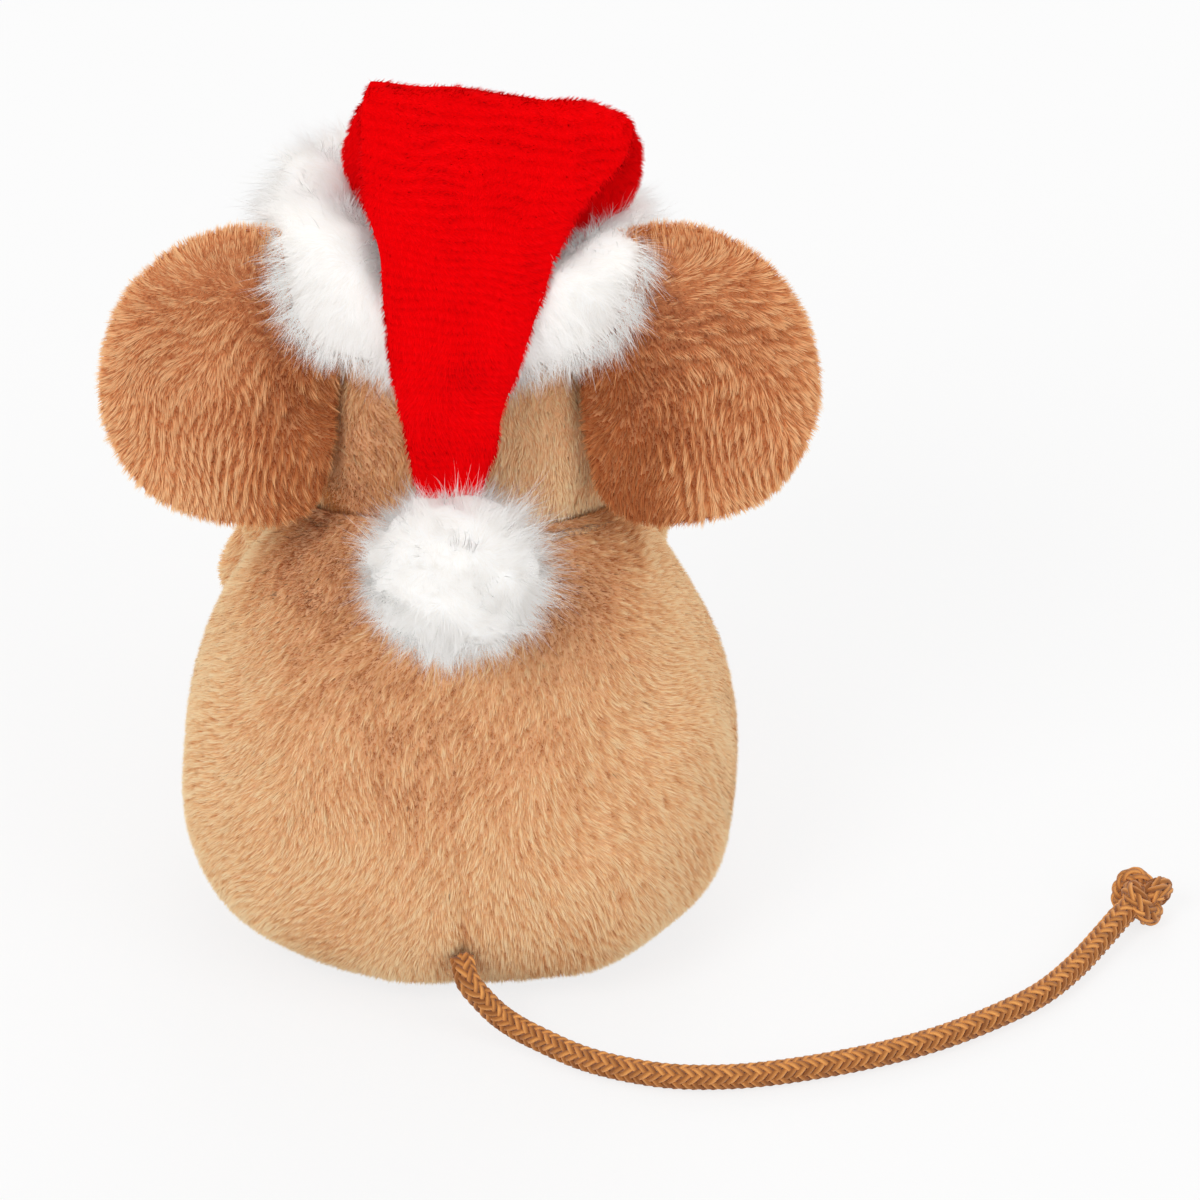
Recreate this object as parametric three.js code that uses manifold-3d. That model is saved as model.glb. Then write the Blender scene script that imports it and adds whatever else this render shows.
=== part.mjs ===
// A plush toy mouse that sits up, with a folded red hat and a braided cord for a tail.
// Millimetres, +Z up. The mouse faces +Y, and its left side is -X.
// The origin is on the floor, in the middle of the flat seat.

import * as THREE from 'three';
import { mergeVertices } from 'three/addons/utils/BufferGeometryUtils.js';
import Module from 'manifold-3d';

const wasm = await Module();
wasm.setup();

// Sewing: the cloth with its pile, and the gap between pieces that touch
const plushThickness = 2;
const seamGap = 0.3;
const cutOverrun = 6;

// Body
const bodyWidth = 78;
const bodyHeight = 80;
const rumpReach = 36;
const bellyReach = 35;
const seatThickness = 2;

// Head ball and snout
const headRadius = 27;
const headForward = 11.8;
const headSink = 4.2;
const neckHoleRadius = 11;
const snoutLength = 15;
const snoutRadius = 15;

// Ladder stitch that draws the head to the body
const stitchRingRadius = 22.4;
const stitchThickness = 1.2;

// Ears
const earWidth = 31.5;
const earHeight = 43;
const earThickness = 5.6;
const earHatRoom = 2.5;

// Hat
const trimRingRadius = 21.5;
const trimHeight = 11.5;
const trimThickness = 9;
const trimRise = 24.5;
const trimBack = 1.8;
const crownRadius = 17.4;
const crownHeight = 24.2;
const crownCloth = 1.6;
const crownFoldHalfWidth = 20.2;
const crownShift = 3.9;
const flapHalfWidth = 18.8;
const flapShift = 5.3;
const flapThickness = 3.6;
const flapTipHalfWidth = 4.3;
const flapTipShift = -0.9;
const foldDrop = 2.8;
const pompomRadius = 10.3;
const pompomHalfWidth = 11.8;
const pompomRoom = 0.6;

// Arms and feet
const armLength = 20.5;
const shoulderRadius = 5.8;
const pawRadius = 5.6;
const footLength = 26;
const heelRadius = 7.2;
const soleRadius = 8.5;
const limbPlush = 1.5;
const limbSeatDepth = 3;
const limbRoom = 0.9;

// Face
const eyeRadius = 3.2;
const eyeSnoutRoom = 1.45;
const noseRadius = 3.6;
const shankRadius = 1.2;
const shankLength = 6;
const washerRadius = 4;
const washerThickness = 1;
const noseWasherRadius = 2.8;
const whiskerLength = 19;
const whiskerThickness = 0.7;
const whiskerPatchRadius = 1.6;

// Squeaker in the middle of the stuffing
const squeakerRadius = 15;
const squeakerHeight = 20;
const squeakerWall = 1;
const squeakerHeadRoom = 7.2;
const reedRadius = 4.5;
const reedLength = 7;
const reedFlange = 1.6;

// Tail cord
const cordDiameter = 3.5;
const anchorRadius = 3.6;
const cordHoleRadius = 2.7;
const knotHalfLength = 4.7;
const knotHalfWidth = 3.9;
const knotHalfHeight = 3.5;

// Where the cord's middle line runs: out of the back seam, down to the floor and round to the right
const cordRoute = [
  [0, -32.9, 10.9],
  [0.9, -35.8, 9.1],
  [2.9, -36.4, 6.4],
  [5.2, -36.8, 3.9],
  [7.8, -38, 2.6],
  [10.6, -39.6, 2],
  [16.8, -43.9, 1.85],
  [23.3, -46.7, 1.85],
  [29.9, -48.2, 1.85],
  [39.7, -48, 1.85],
  [53.3, -44.8, 1.85],
  [65, -40.2, 1.85],
  [73.6, -35.1, 1.85],
  [81.1, -29.2, 1.85],
  [86.2, -22.8, 1.9],
  [89.8, -17.2, 2.3],
  [93.1, -12.3, 3.1],
].map(([x, y, z]) => new THREE.Vector3(x, y, z));

// How finely round shapes are divided
const bodySides = 24;
const ballSides = 24;
const ballRows = 12;
const limbSides = 12;
const smallSides = 10;
const stitchSides = 28;
const bulbSides = 16;
const earSides = 24;
const stitchRows = 6;
const trimRows = 8;
const flapSides = 16;
const pompomSides = 20;
const pompomRows = 12;
const whiskerSides = 6;
const cordSides = 8;
const cordSteps = 34;
const weldDistance = 0.0005;

// Angles, in degrees
const earAzimuth = 46.7;
const earElevation = 13.7;
const earSwing = 15;
const snoutDroop = 12;
const neckLean = 24;
const eyeLift = 41;
const whiskerFan = 40;
const whiskerSweep = 7;
const whiskerPatchTurn = 37;
const flapLean = 24.8;

const radians = THREE.MathUtils.degToRad;
const halfBody = bodyWidth / 2;
const headCentre = new THREE.Vector3(0, headForward, bodyHeight - headSink);
const cordRadius = cordDiameter / 2;

const tan = { color: 0xcf9a66, roughness: 0.95, metalness: 0 };
const colours = {
  plush: tan,
  earPlush: { color: 0xb97f4e, roughness: 0.95, metalness: 0 },
  redPlush: { color: 0xd8040c, roughness: 0.9, metalness: 0 },
  whiteFur: { color: 0xf6f4f0, roughness: 0.95, metalness: 0 },
  cord: { color: 0xa8692f, roughness: 0.85, metalness: 0 },
  thread: { color: 0x9c7048, roughness: 0.8, metalness: 0 },
  darkThread: { color: 0x2a211d, roughness: 0.6, metalness: 0 },
  fill: { color: 0xeeeae2, roughness: 1, metalness: 0 },
  bead: { color: 0x0c0b0c, roughness: 0.15, metalness: 0 },
  plastic: { color: 0xe9e7df, roughness: 0.5, metalness: 0 },
};

// A closed geometry with only its places left, its shared points joined and its collapsed faces dropped
function closed(geometry) {
  const bare = geometry.clone();
  bare.deleteAttribute('normal');
  bare.deleteAttribute('uv');
  const merged = mergeVertices(bare, weldDistance);
  const corners = merged.index.array;
  const kept = [];
  for (let i = 0; i < corners.length; i += 3) {
    const [a, b, c] = corners.slice(i, i + 3);
    if (a !== b && b !== c && c !== a) kept.push(a, b, c);
  }
  merged.setIndex(kept);
  return merged;
}

function solidOf(geometry) {
  const { attributes, index } = closed(geometry);
  return new wasm.Manifold(new wasm.Mesh({
    numProp: 3,
    vertProperties: new Float32Array(attributes.position.array),
    triVerts: new Uint32Array(index.array),
  }));
}

function geometryOf(solid) {
  const mesh = solid.getMesh();
  const geometry = new THREE.BufferGeometry();
  geometry.setAttribute('position', new THREE.BufferAttribute(mesh.vertProperties, 3));
  geometry.setIndex(new THREE.BufferAttribute(mesh.triVerts, 1));
  geometry.computeVertexNormals();
  return geometry;
}

const cut = (solid, ...tools) => tools.reduce((left, tool) => left.subtract(tool), solid);
const join = (solid, ...others) => others.reduce((sum, other) => sum.add(other), solid);

// A closed form through rings of points. Each ring has as many points, and both ends are capped.
function loft(rings) {
  const count = rings[0].length;
  const points = rings.flat();
  const faces = [];
  for (let r = 0; r + 1 < rings.length; r += 1) {
    for (let i = 0; i < count; i += 1) {
      const a = r * count + i;
      const b = r * count + ((i + 1) % count);
      faces.push(a, b, b + count, a, b + count, a + count);
    }
  }
  const capEnd = (first, flip) => {
    const centre = new THREE.Vector3();
    for (let i = 0; i < count; i += 1) centre.addScaledVector(points[first + i], 1 / count);
    points.push(centre);
    for (let i = 0; i < count; i += 1) {
      const a = first + i;
      const b = first + ((i + 1) % count);
      faces.push(points.length - 1, flip ? b : a, flip ? a : b);
    }
  };
  capEnd(0, true);
  capEnd((rings.length - 1) * count, false);
  let volume = 0;
  for (let i = 0; i < faces.length; i += 3) {
    const [a, b, c] = faces.slice(i, i + 3).map((corner) => points[corner]);
    volume += a.dot(b.clone().cross(c));
  }
  if (volume < 0) faces.reverse();
  const geometry = new THREE.BufferGeometry();
  const places = points.flatMap((p) => p.toArray());
  geometry.setAttribute('position', new THREE.Float32BufferAttribute(places, 3));
  geometry.setIndex(faces);
  return geometry;
}

// A ring of points, from a function of the angle
function ringOf(sides, pointAt) {
  return Array.from({ length: sides }, (_, i) => pointAt((2 * Math.PI * i) / sides));
}

function ball(radius, centre = new THREE.Vector3(), sides = ballSides, rows = ballRows) {
  return new THREE.SphereGeometry(radius, sides, rows).translate(centre.x, centre.y, centre.z);
}

// The room that a ball turns in: even its flats stay clear of the ball
function ballRoom(radius, clearance, centre, sides = ballSides, rows = ballRows) {
  const flatness = Math.cos(Math.PI / sides) * Math.cos(Math.PI / (2 * rows));
  return solidOf(ball((radius + clearance) / flatness, centre, sides, rows));
}

// A round solid about an axis. The outline's points are (radius, distance along the axis).
function turned(outline, start, direction, sides = smallSides) {
  const geometry = new THREE.LatheGeometry(outline.map(([r, s]) => new THREE.Vector2(r, s)), sides);
  const toAxis = new THREE.Quaternion().setFromUnitVectors(new THREE.Vector3(0, 1, 0), direction);
  return geometry.applyQuaternion(toAxis).translate(start.x, start.y, start.z);
}

function rod(radius, start, direction, length, sides = smallSides) {
  return turned([[0, 0], [radius, 0], [radius, length], [0, length]], start, direction, sides);
}

function torus(ringRadius, halfThickness, halfHeight, axis, centre, sides, rows) {
  const section = ringOf(rows, (a) => [
    ringRadius + halfThickness * Math.cos(a),
    halfHeight * Math.sin(a),
  ]);
  section.push(section[0]);
  return turned(section, centre, axis, sides);
}

function slab(lowCorner, highCorner) {
  const size = highCorner.clone().sub(lowCorner);
  const middle = lowCorner.clone().add(highCorner).multiplyScalar(0.5);
  return new THREE.BoxGeometry(size.x, size.y, size.z).translate(middle.x, middle.y, middle.z);
}

function part(name, shape, look) {
  const geometry = shape instanceof THREE.BufferGeometry ? shape : geometryOf(shape);
  const mesh = new THREE.Mesh(geometry, new THREE.MeshStandardMaterial(colours[look]));
  mesh.name = name;
  return mesh;
}

// Body: rows from the seat up. Shares of the height, of half the width, and of the rump's and belly's reach.
const bodyRowShares = [
  [0, 0.66, 0.62, 0.7],
  [0.035, 0.81, 0.775, 0.83],
  [0.1, 0.94, 0.925, 0.94],
  [0.17, 0.99, 0.99, 0.99],
  [0.25, 1, 1, 1],
  [0.35, 0.99, 0.975, 0.99],
  [0.46, 0.945, 0.91, 0.95],
  [0.57, 0.86, 0.81, 0.88],
  [0.67, 0.765, 0.71, 0.79],
  [0.76, 0.655, 0.61, 0.68],
  [0.85, 0.52, 0.5, 0.52],
  [0.93, 0.36, 0.37, 0.32],
];
const bodySquareness = 2.25;

function squareRing(sides, halfWidth, back, front, height, power = 2) {
  const bend = (value) => Math.sign(value) * Math.abs(value) ** (2 / power);
  return ringOf(sides, (a) => {
    const y = bend(Math.sin(a));
    return new THREE.Vector3(halfWidth * bend(Math.cos(a)), y * (y < 0 ? back : front), height);
  });
}

// The body's form, drawn in by an inset. Its lowest ring is carried down by a drop, to cut right through.
function bodyForm(inset, drop = 0) {
  const top = bodyHeight - inset;
  const rings = bodyRowShares.map(([rise, width, back, front]) => squareRing(
    bodySides,
    halfBody * width - inset,
    rumpReach * back - inset,
    bellyReach * front - inset,
    top * rise,
    bodySquareness,
  ));
  if (drop > 0) rings.unshift(rings[0].map((p) => new THREE.Vector3(p.x, p.y, -drop)));
  return loft(rings);
}

// A point on the middle of the back at a share of the height, and the direction that faces out there
function backAt(share) {
  const next = bodyRowShares.findIndex(([rise]) => rise > share);
  const [low, high] = [bodyRowShares[next - 1], bodyRowShares[next]];
  const along = (share - low[0]) / (high[0] - low[0]);
  const reach = rumpReach * (low[2] + along * (high[2] - low[2]));
  const rise = bodyHeight * (high[0] - low[0]);
  const drawIn = rumpReach * (low[2] - high[2]);
  return {
    point: new THREE.Vector3(0, -reach, bodyHeight * share),
    outward: new THREE.Vector3(0, -rise, drawIn).normalize(),
  };
}

// Shoulders and hips: where each limb's root sits, in shares of half the width and of the height,
// and the way that the limb points
const limbShares = {
  arm_left: [-0.6, 0.625, -0.22, 0.46, -0.86],
  arm_right: [0.6, 0.625, -0.1, 0.63, -0.77],
  foot_left: [-0.44, 0.1, -0.14, 0.99, 0],
  foot_right: [0.44, 0.1, 0.14, 0.99, 0],
};
const limbs = Object.fromEntries(Object.entries(limbShares).map(([name, [side, rise, ...way]]) => [
  name,
  limbPlace(side, rise, new THREE.Vector3(...way), name.startsWith('foot') ? heelRadius : shoulderRadius),
]));

// A limb's root on the front of the body, at a share of the half width and of the height
function limbPlace(sideShare, heightShare, direction, rootRadius) {
  const next = bodyRowShares.findIndex(([rise]) => rise > heightShare);
  const [low, high] = [bodyRowShares[next - 1], bodyRowShares[next]];
  const along = (heightShare - low[0]) / (high[0] - low[0]);
  const halfWidth = halfBody * (low[1] + along * (high[1] - low[1]));
  const front = bellyReach * (low[3] + along * (high[3] - low[3]));
  const x = halfBody * sideShare;
  const inside = 1 - Math.abs(x / halfWidth) ** bodySquareness;
  const y = front * inside ** (1 / bodySquareness);
  const outward = new THREE.Vector3(x / halfWidth ** 2, y / front ** 2, 0).normalize();
  const surface = new THREE.Vector3(x, y, bodyHeight * heightShare);
  const root = surface.addScaledVector(outward, rootRadius - limbSeatDepth);
  return { root, direction: direction.normalize(), rootRadius };
}

function limbSockets(clearance) {
  return Object.values(limbs).map(({ root, rootRadius }) => (
    ballRoom(rootRadius, clearance, root, limbSides, limbSides / 2)
  ));
}

const headCup = (clearance) => ballRoom(headRadius, clearance, headCentre);

const neckAxis = new THREE.Vector3(0, Math.sin(radians(neckLean)), Math.cos(radians(neckLean)));
const stitchOffset = headRadius + seamGap + stitchThickness / 2;
const stitchCentre = headCentre.clone()
  .addScaledVector(neckAxis, -Math.sqrt(stitchOffset ** 2 - stitchRingRadius ** 2));

function stitchRing(clearance) {
  const half = stitchThickness / 2 + clearance;
  return torus(stitchRingRadius, half, half, neckAxis, stitchCentre, stitchSides, stitchRows);
}

// The cord's root is a round end that sits in the back seam, behind the knotted end in the stuffing
const cordRoot = cordRoute[0];
const cordOut = cordRoute[1].clone().sub(cordRoot).setX(0).normalize();
const anchorCentre = cordRoot.clone().addScaledVector(cordOut, -(cordRadius + seamGap + anchorRadius));

function bodyPieces() {
  const belowSeat = slab(
    new THREE.Vector3(-bodyWidth, -bodyWidth, -bodyHeight),
    new THREE.Vector3(bodyWidth, bodyWidth, seatThickness + seamGap),
  );
  const cordHole = rod(
    cordHoleRadius,
    anchorCentre,
    cordOut,
    anchorRadius + cordDiameter + cutOverrun,
  );
  const collarRadius = stitchRingRadius + stitchThickness / 2 + seamGap;
  const collar = rod(collarRadius, stitchCentre, neckAxis, bodyHeight, stitchSides);
  const cover = cut(
    solidOf(bodyForm(0)),
    solidOf(bodyForm(plushThickness, cutOverrun)),
    headCup(seamGap),
    solidOf(stitchRing(seamGap)),
    solidOf(collar),
    solidOf(cordHole),
    ...limbSockets(seamGap),
  );

  const aboveStitch = rod(bodyWidth, stitchCentre, neckAxis, bodyHeight);
  const fillForm = cut(
    solidOf(bodyForm(plushThickness + seamGap)),
    solidOf(belowSeat),
    headCup(seamGap),
    solidOf(stitchRing(seamGap)),
    solidOf(aboveStitch),
    solidOf(ball(anchorRadius + seamGap, anchorCentre, smallSides, smallSides / 2)),
    solidOf(cordHole),
    squeakerPocket(),
    ...limbSockets(seamGap),
  );
  const split = (low, high) => solidOf(slab(
    new THREE.Vector3(-bodyWidth, -bodyWidth, low),
    new THREE.Vector3(bodyWidth, bodyWidth, high),
  ));
  const lowerFill = cut(fillForm, split(squeakerRise - seamGap / 2, 2 * bodyHeight));
  const upperFill = cut(fillForm, split(-bodyHeight, squeakerRise + seamGap / 2));

  const [, seatWidth, seatBack, seatFront] = bodyRowShares[0];
  const seatInset = plushThickness + seamGap;
  const seatRing = (height) => squareRing(
    bodySides,
    halfBody * seatWidth - seatInset,
    rumpReach * seatBack - seatInset,
    bellyReach * seatFront - seatInset,
    height,
    bodySquareness,
  );

  return [
    part('body_cover', cover, 'plush'),
    part('seat_panel', loft([seatRing(0), seatRing(seatThickness)]), 'plush'),
    part('stuffing_lower', lowerFill, 'fill'),
    part('stuffing_upper', upperFill, 'fill'),
  ];
}

// The squeaker bulb is a flat round bellows. Its reed is a plug in the mouth on top, below the head.
const squeakerTop = headCentre.z - headRadius - squeakerHeadRoom;
const squeakerRise = squeakerTop - reedFlange - squeakerHeight / 2;
const squeakerCentre = new THREE.Vector3(0, 0, squeakerRise);
const up = new THREE.Vector3(0, 0, 1);

function bulbOutline(inset) {
  const steps = 6;
  const mouth = Math.asin((reedRadius + seamGap) / squeakerRadius);
  return Array.from({ length: steps + 1 }, (_, i) => {
    const a = Math.PI - (i / steps) * (Math.PI - mouth);
    return [
      (squeakerRadius - inset) * Math.sin(a) + (i === steps ? inset * Math.sin(mouth) : 0),
      (squeakerHeight / 2 - inset) * Math.cos(a),
    ];
  });
}

function squeakerPocket() {
  const bulb = solidOf(turned(
    bulbOutline(-seamGap).concat([[0, squeakerHeight / 2 + seamGap]]),
    squeakerCentre,
    up,
    bulbSides,
  ));
  const reedTop = squeakerHeight / 2 + reedFlange + seamGap;
  const reed = solidOf(rod(reedRadius + reedFlange + seamGap, squeakerCentre, up, reedTop));
  return join(bulb, reed);
}

function squeakerPieces() {
  const outer = bulbOutline(0);
  const inner = bulbOutline(squeakerWall).reverse();
  const bulb = turned([...outer, ...inner], squeakerCentre, up, bulbSides);
  const flangeBottom = squeakerHeight / 2 + seamGap;
  const reed = turned([
    [0, flangeBottom - reedLength],
    [reedRadius - seamGap, flangeBottom - reedLength],
    [reedRadius - seamGap, flangeBottom],
    [reedRadius + reedFlange - seamGap, flangeBottom],
    [reedRadius + reedFlange - seamGap, flangeBottom + reedFlange - seamGap],
    [0, flangeBottom + reedFlange - seamGap],
  ], squeakerCentre, up);
  return [
    part('squeaker_bulb', solidOf(bulb), 'plastic'),
    part('squeaker_reed', solidOf(reed), 'plastic'),
  ];
}

// Head, built round the middle of its ball. The snout's outline is in shares of its radius and its length.
const snoutShares = [
  [0, -0.9], [1, -0.7], [1, -0.3], [0.9, 0.15], [0.69, 0.5], [0.46, 0.79], [0.24, 0.95], [0, 1],
];
const snoutAxis = new THREE.Vector3(0, Math.cos(radians(snoutDroop)), -Math.sin(radians(snoutDroop)));
const snoutUp = new THREE.Vector3(0, -snoutAxis.z, snoutAxis.y);
const origin = new THREE.Vector3();

function headForm(inset) {
  const snout = snoutShares.map(([wide, far]) => [
    Math.max(wide * snoutRadius - (wide > 0 ? inset : 0), 0),
    headRadius + far * snoutLength - (far > 0 ? inset : 0),
  ]);
  return join(
    solidOf(ball(headRadius - inset)),
    solidOf(turned(snout, origin, snoutAxis, ballSides)),
  );
}

// An eye sits just clear of where the snout leaves the head's ball, up and to one side
const eyeSpread = Math.asin(snoutRadius / headRadius) + (eyeRadius + eyeSnoutRoom) / headRadius;

function eyePlace(side) {
  const across = new THREE.Vector3(side * Math.cos(radians(eyeLift)), 0, 0)
    .addScaledVector(snoutUp, Math.sin(radians(eyeLift)));
  const outward = snoutAxis.clone()
    .multiplyScalar(Math.cos(eyeSpread))
    .addScaledVector(across, Math.sin(eyeSpread));
  return { outward, surface: outward.clone().multiplyScalar(headRadius) };
}

// Beads on the face: a dome outside, a shank through the cloth and a washer inside.
// The dome's outline is in shares of its radius, and the nose's washer sits at a share of the snout.
const domeShares = [[0, 0], [0.86, 0], [1, 0.3], [0.8, 0.78], [0, 1]];
const noseDepthShare = 0.2;
const snoutTip = snoutAxis.clone().multiplyScalar(headRadius + snoutLength);
const beads = {
  eye_left: { ...eyePlace(-1), radius: eyeRadius, washer: washerRadius, depth: 0 },
  eye_right: { ...eyePlace(1), radius: eyeRadius, washer: washerRadius, depth: 0 },
  nose: {
    outward: snoutAxis,
    surface: snoutTip,
    radius: noseRadius,
    washer: noseWasherRadius,
    depth: snoutLength * noseDepthShare,
  },
};

function washerDepth({ washer, depth }) {
  const inside = headRadius - plushThickness;
  return plushThickness + depth + seamGap + inside - Math.sqrt(inside ** 2 - washer ** 2);
}

function beadPieces() {
  return Object.entries(beads).flatMap(([name, bead]) => {
    const { outward, surface, radius } = bead;
    const inward = outward.clone().negate();
    const depth = washerDepth(bead);
    const reach = Math.max(shankLength, depth + washerThickness + seamGap);
    const foot = surface.clone().addScaledVector(outward, seamGap);
    const dome = turned(domeShares.map(([wide, far]) => [wide * radius, far * radius]), foot, outward);
    const shankTop = foot.clone().addScaledVector(outward, radius / 2);
    const shank = rod(shankRadius, shankTop, inward, reach + radius / 2);
    const washer = turned([
      [shankRadius + seamGap, depth],
      [bead.washer, depth],
      [bead.washer, depth + washerThickness],
      [shankRadius + seamGap, depth + washerThickness],
      [shankRadius + seamGap, depth],
    ], surface, inward);
    return [
      part(name, join(solidOf(dome), solidOf(shank)), 'bead'),
      part(`${name}_washer`, solidOf(washer), 'plastic'),
    ];
  });
}

function beadHoles(clearance) {
  return Object.values(beads).map(({ outward, surface, radius }) => {
    const start = surface.clone().addScaledVector(outward, radius);
    const length = shankLength + 2 * radius + snoutLength / 2;
    return solidOf(rod(shankRadius + clearance, start, outward.clone().negate(), length));
  });
}

function washerPockets(clearance) {
  return Object.values(beads).map((bead) => {
    const start = bead.surface.clone().addScaledVector(bead.outward, -plushThickness / 2);
    const length = washerDepth(bead) + washerThickness + clearance - plushThickness / 2;
    return solidOf(rod(bead.washer + clearance, start, bead.outward.clone().negate(), length));
  });
}

// Whiskers: three stiff threads from one sewn patch on each side of the snout, in shares of their fan
const whiskerLiftShares = [-0.4, 0.1, 0.6];
const whiskerRow = snoutShares[4];

function whiskerSet(side) {
  const sideways = new THREE.Vector3(side, 0, 0);
  const outward = sideways.clone()
    .multiplyScalar(Math.cos(radians(whiskerPatchTurn)))
    .addScaledVector(snoutAxis, Math.sin(radians(whiskerPatchTurn)));
  const surface = snoutAxis.clone()
    .multiplyScalar(headRadius + whiskerRow[1] * snoutLength)
    .addScaledVector(sideways, whiskerRow[0] * snoutRadius)
    .addScaledVector(outward, seamGap);
  const patch = rod(whiskerPatchRadius, surface, outward, 2 * whiskerThickness);
  const start = surface.clone().addScaledVector(outward, whiskerThickness);
  const threads = whiskerLiftShares.map((share) => {
    const lift = radians(share * whiskerFan);
    const sweep = Math.tan(radians(whiskerSweep));
    const direction = new THREE.Vector3(side * Math.cos(lift), sweep, Math.sin(lift)).normalize();
    return solidOf(rod(whiskerThickness / 2, start, direction, whiskerLength, whiskerSides));
  });
  return join(solidOf(patch), ...threads);
}

function headPieces() {
  const neckHole = rod(neckHoleRadius, origin, neckAxis.clone().negate(), headRadius + cutOverrun);
  const cover = cut(
    headForm(0),
    headForm(plushThickness),
    solidOf(neckHole),
    ...beadHoles(seamGap),
  );
  const fill = cut(
    headForm(plushThickness + seamGap),
    ...beadHoles(seamGap),
    ...washerPockets(seamGap),
  );
  return [
    part('head_cover', cover, 'plush'),
    part('head_stuffing', fill, 'fill'),
    part('whiskers_left', whiskerSet(-1), 'darkThread'),
    part('whiskers_right', whiskerSet(1), 'darkThread'),
    ...beadPieces(),
  ];
}

// Hat trim, in the head's frame
const trimCentre = new THREE.Vector3(0, -trimBack, trimRise);

function trimForm(clearance) {
  return torus(
    trimRingRadius,
    trimThickness / 2 + clearance,
    trimHeight / 2 + clearance,
    up,
    trimCentre,
    bodySides,
    trimRows,
  );
}

// Ears. Each one's frame has its origin on the hinge line at the root, X along the ear and Z up the root.
// The outline runs in shares of the ear's width and height, from the root's lower end.
const earOutlineShares = [
  [0, 0.13], [0.12, 0.03], [0.42, 0], [0.72, 0.06], [0.93, 0.24], [1, 0.46],
  [0.95, 0.7], [0.78, 0.89], [0.5, 1], [0.24, 0.96], [0.06, 0.8], [0, 0.5],
];
const earRootShare = 0.33;
const earMiddleShares = [0.45, 0.5];
// How far the face of a panel rises, as a share of its thickness, at shares of the outline's size
const earCrownShares = [[1, 0], [1, 0.22], [0.96, 0.6], [0.84, 0.84], [0.5, 0.97]];

function earFrame(side) {
  const azimuth = radians(earAzimuth);
  const lift = radians(earElevation);
  const outward = new THREE.Vector3(
    side * Math.sin(azimuth) * Math.cos(lift),
    -Math.cos(azimuth) * Math.cos(lift),
    Math.sin(lift),
  );
  const z = new THREE.Vector3(
    -side * Math.sin(azimuth) * Math.sin(lift),
    Math.cos(azimuth) * Math.sin(lift),
    Math.cos(lift),
  );
  const x = new THREE.Vector3(1, 0, 0).addScaledVector(z, -z.x).normalize();
  const y = z.clone().cross(x);
  const root = outward.clone().multiplyScalar(headRadius + seamGap + earThickness / 2);
  return new THREE.Matrix4().makeBasis(x, y, z).setPosition(root);
}

function earPanel(side, face) {
  const outline = new THREE.CatmullRomCurve3(
    earOutlineShares.map(([u, w]) => new THREE.Vector3(
      side * (u * earWidth - earThickness / 2),
      0,
      (w - earRootShare) * earHeight,
    )),
    true,
  ).getSpacedPoints(earSides).slice(0, earSides);
  const [along, rise] = earMiddleShares;
  const middle = new THREE.Vector3(side * along * earWidth, 0, (rise - earRootShare) * earHeight);
  const half = (earThickness - seamGap) / 2;
  const rings = earCrownShares.map(([size, swell]) => outline.map((p) => {
    const point = middle.clone().lerp(p, size);
    point.y = face * (seamGap / 2 + swell * half);
    return point;
  }));
  const panel = loft(rings);
  const places = panel.attributes.position;
  places.setY(places.count - 1, face * (seamGap / 2 + half));
  return solidOf(panel);
}

function earPieces(side, label) {
  const frame = earFrame(side);
  const toEar = frame.clone().invert();
  const turns = [-1, -0.5, 0, 0.5, 1].map((share) => radians(share * earSwing));
  const neighbours = [
    ball(headRadius + seamGap),
    trimForm(earHatRoom),
  ].map((geometry) => geometry.applyMatrix4(toEar));
  const cutters = neighbours.flatMap((geometry) => (
    turns.map((turn) => solidOf(geometry.clone().rotateZ(turn)))
  ));
  const ear = new THREE.Group();
  frame.decompose(ear.position, ear.quaternion, ear.scale);
  ear.add(
    part(`ear_back_${label}`, cut(earPanel(side, -1), ...cutters), 'earPlush'),
    part(`ear_front_${label}`, cut(earPanel(side, 1), ...cutters), 'earPlush'),
  );
  return ear;
}

// Hat crown: rows from the rim up. Shares of the height, of the way from round to folded flat,
// of the shift to the side and of the width at the fold.
const crownRowShares = [
  [0, 0, 0, 0.86],
  [0.25, 0.2, 0.8, 0.86],
  [0.5, 0.45, 1.25, 0.875],
  [0.7, 0.68, 1.15, 0.94],
  [0.88, 0.88, 1, 0.99],
  [1, 1, 1, 1],
];
const foldForward = 0.2;
const crownRim = new THREE.Vector3(0, -trimBack, trimRise - trimHeight / 4);
const foldPoint = new THREE.Vector3(flapShift, foldForward, crownRim.z + crownHeight);
const foldSlope = foldDrop / crownFoldHalfWidth;
const foldAcross = new THREE.Vector3(1, 0, -foldSlope).normalize();

function crownForm(inset, drop = 0) {
  const foldRoom = flapThickness / 2 + seamGap;
  const top = foldPoint.z - foldRoom - inset + foldSlope * (flapShift - crownShift);
  const rings = crownRowShares.map(([rise, folded, aside, wide]) => {
    const centreY = crownRim.y + (foldForward - crownRim.y) * folded;
    const halfDepth = crownRadius + (flapThickness / 2 - crownRadius) * folded - inset;
    const halfWidth = crownFoldHalfWidth * wide - inset;
    const height = crownRim.z + (top - crownRim.z) * rise;
    return ringOf(bodySides, (a) => {
      const x = halfWidth * Math.cos(a);
      const y = centreY + halfDepth * Math.sin(a);
      return new THREE.Vector3(crownShift * aside + x, y, height - foldSlope * folded * x);
    });
  });
  if (drop > 0) rings.unshift(rings[0].map((p) => p.clone().setZ(p.z - drop)));
  return solidOf(loft(rings));
}

// The pompom rests against the back, below the neck
const pompomRestShare = 0.835;
const rest = backAt(pompomRestShare);
const pompomCentre = rest.point.clone()
  .addScaledVector(rest.outward, pompomRadius + pompomRoom)
  .sub(headCentre);

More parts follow.
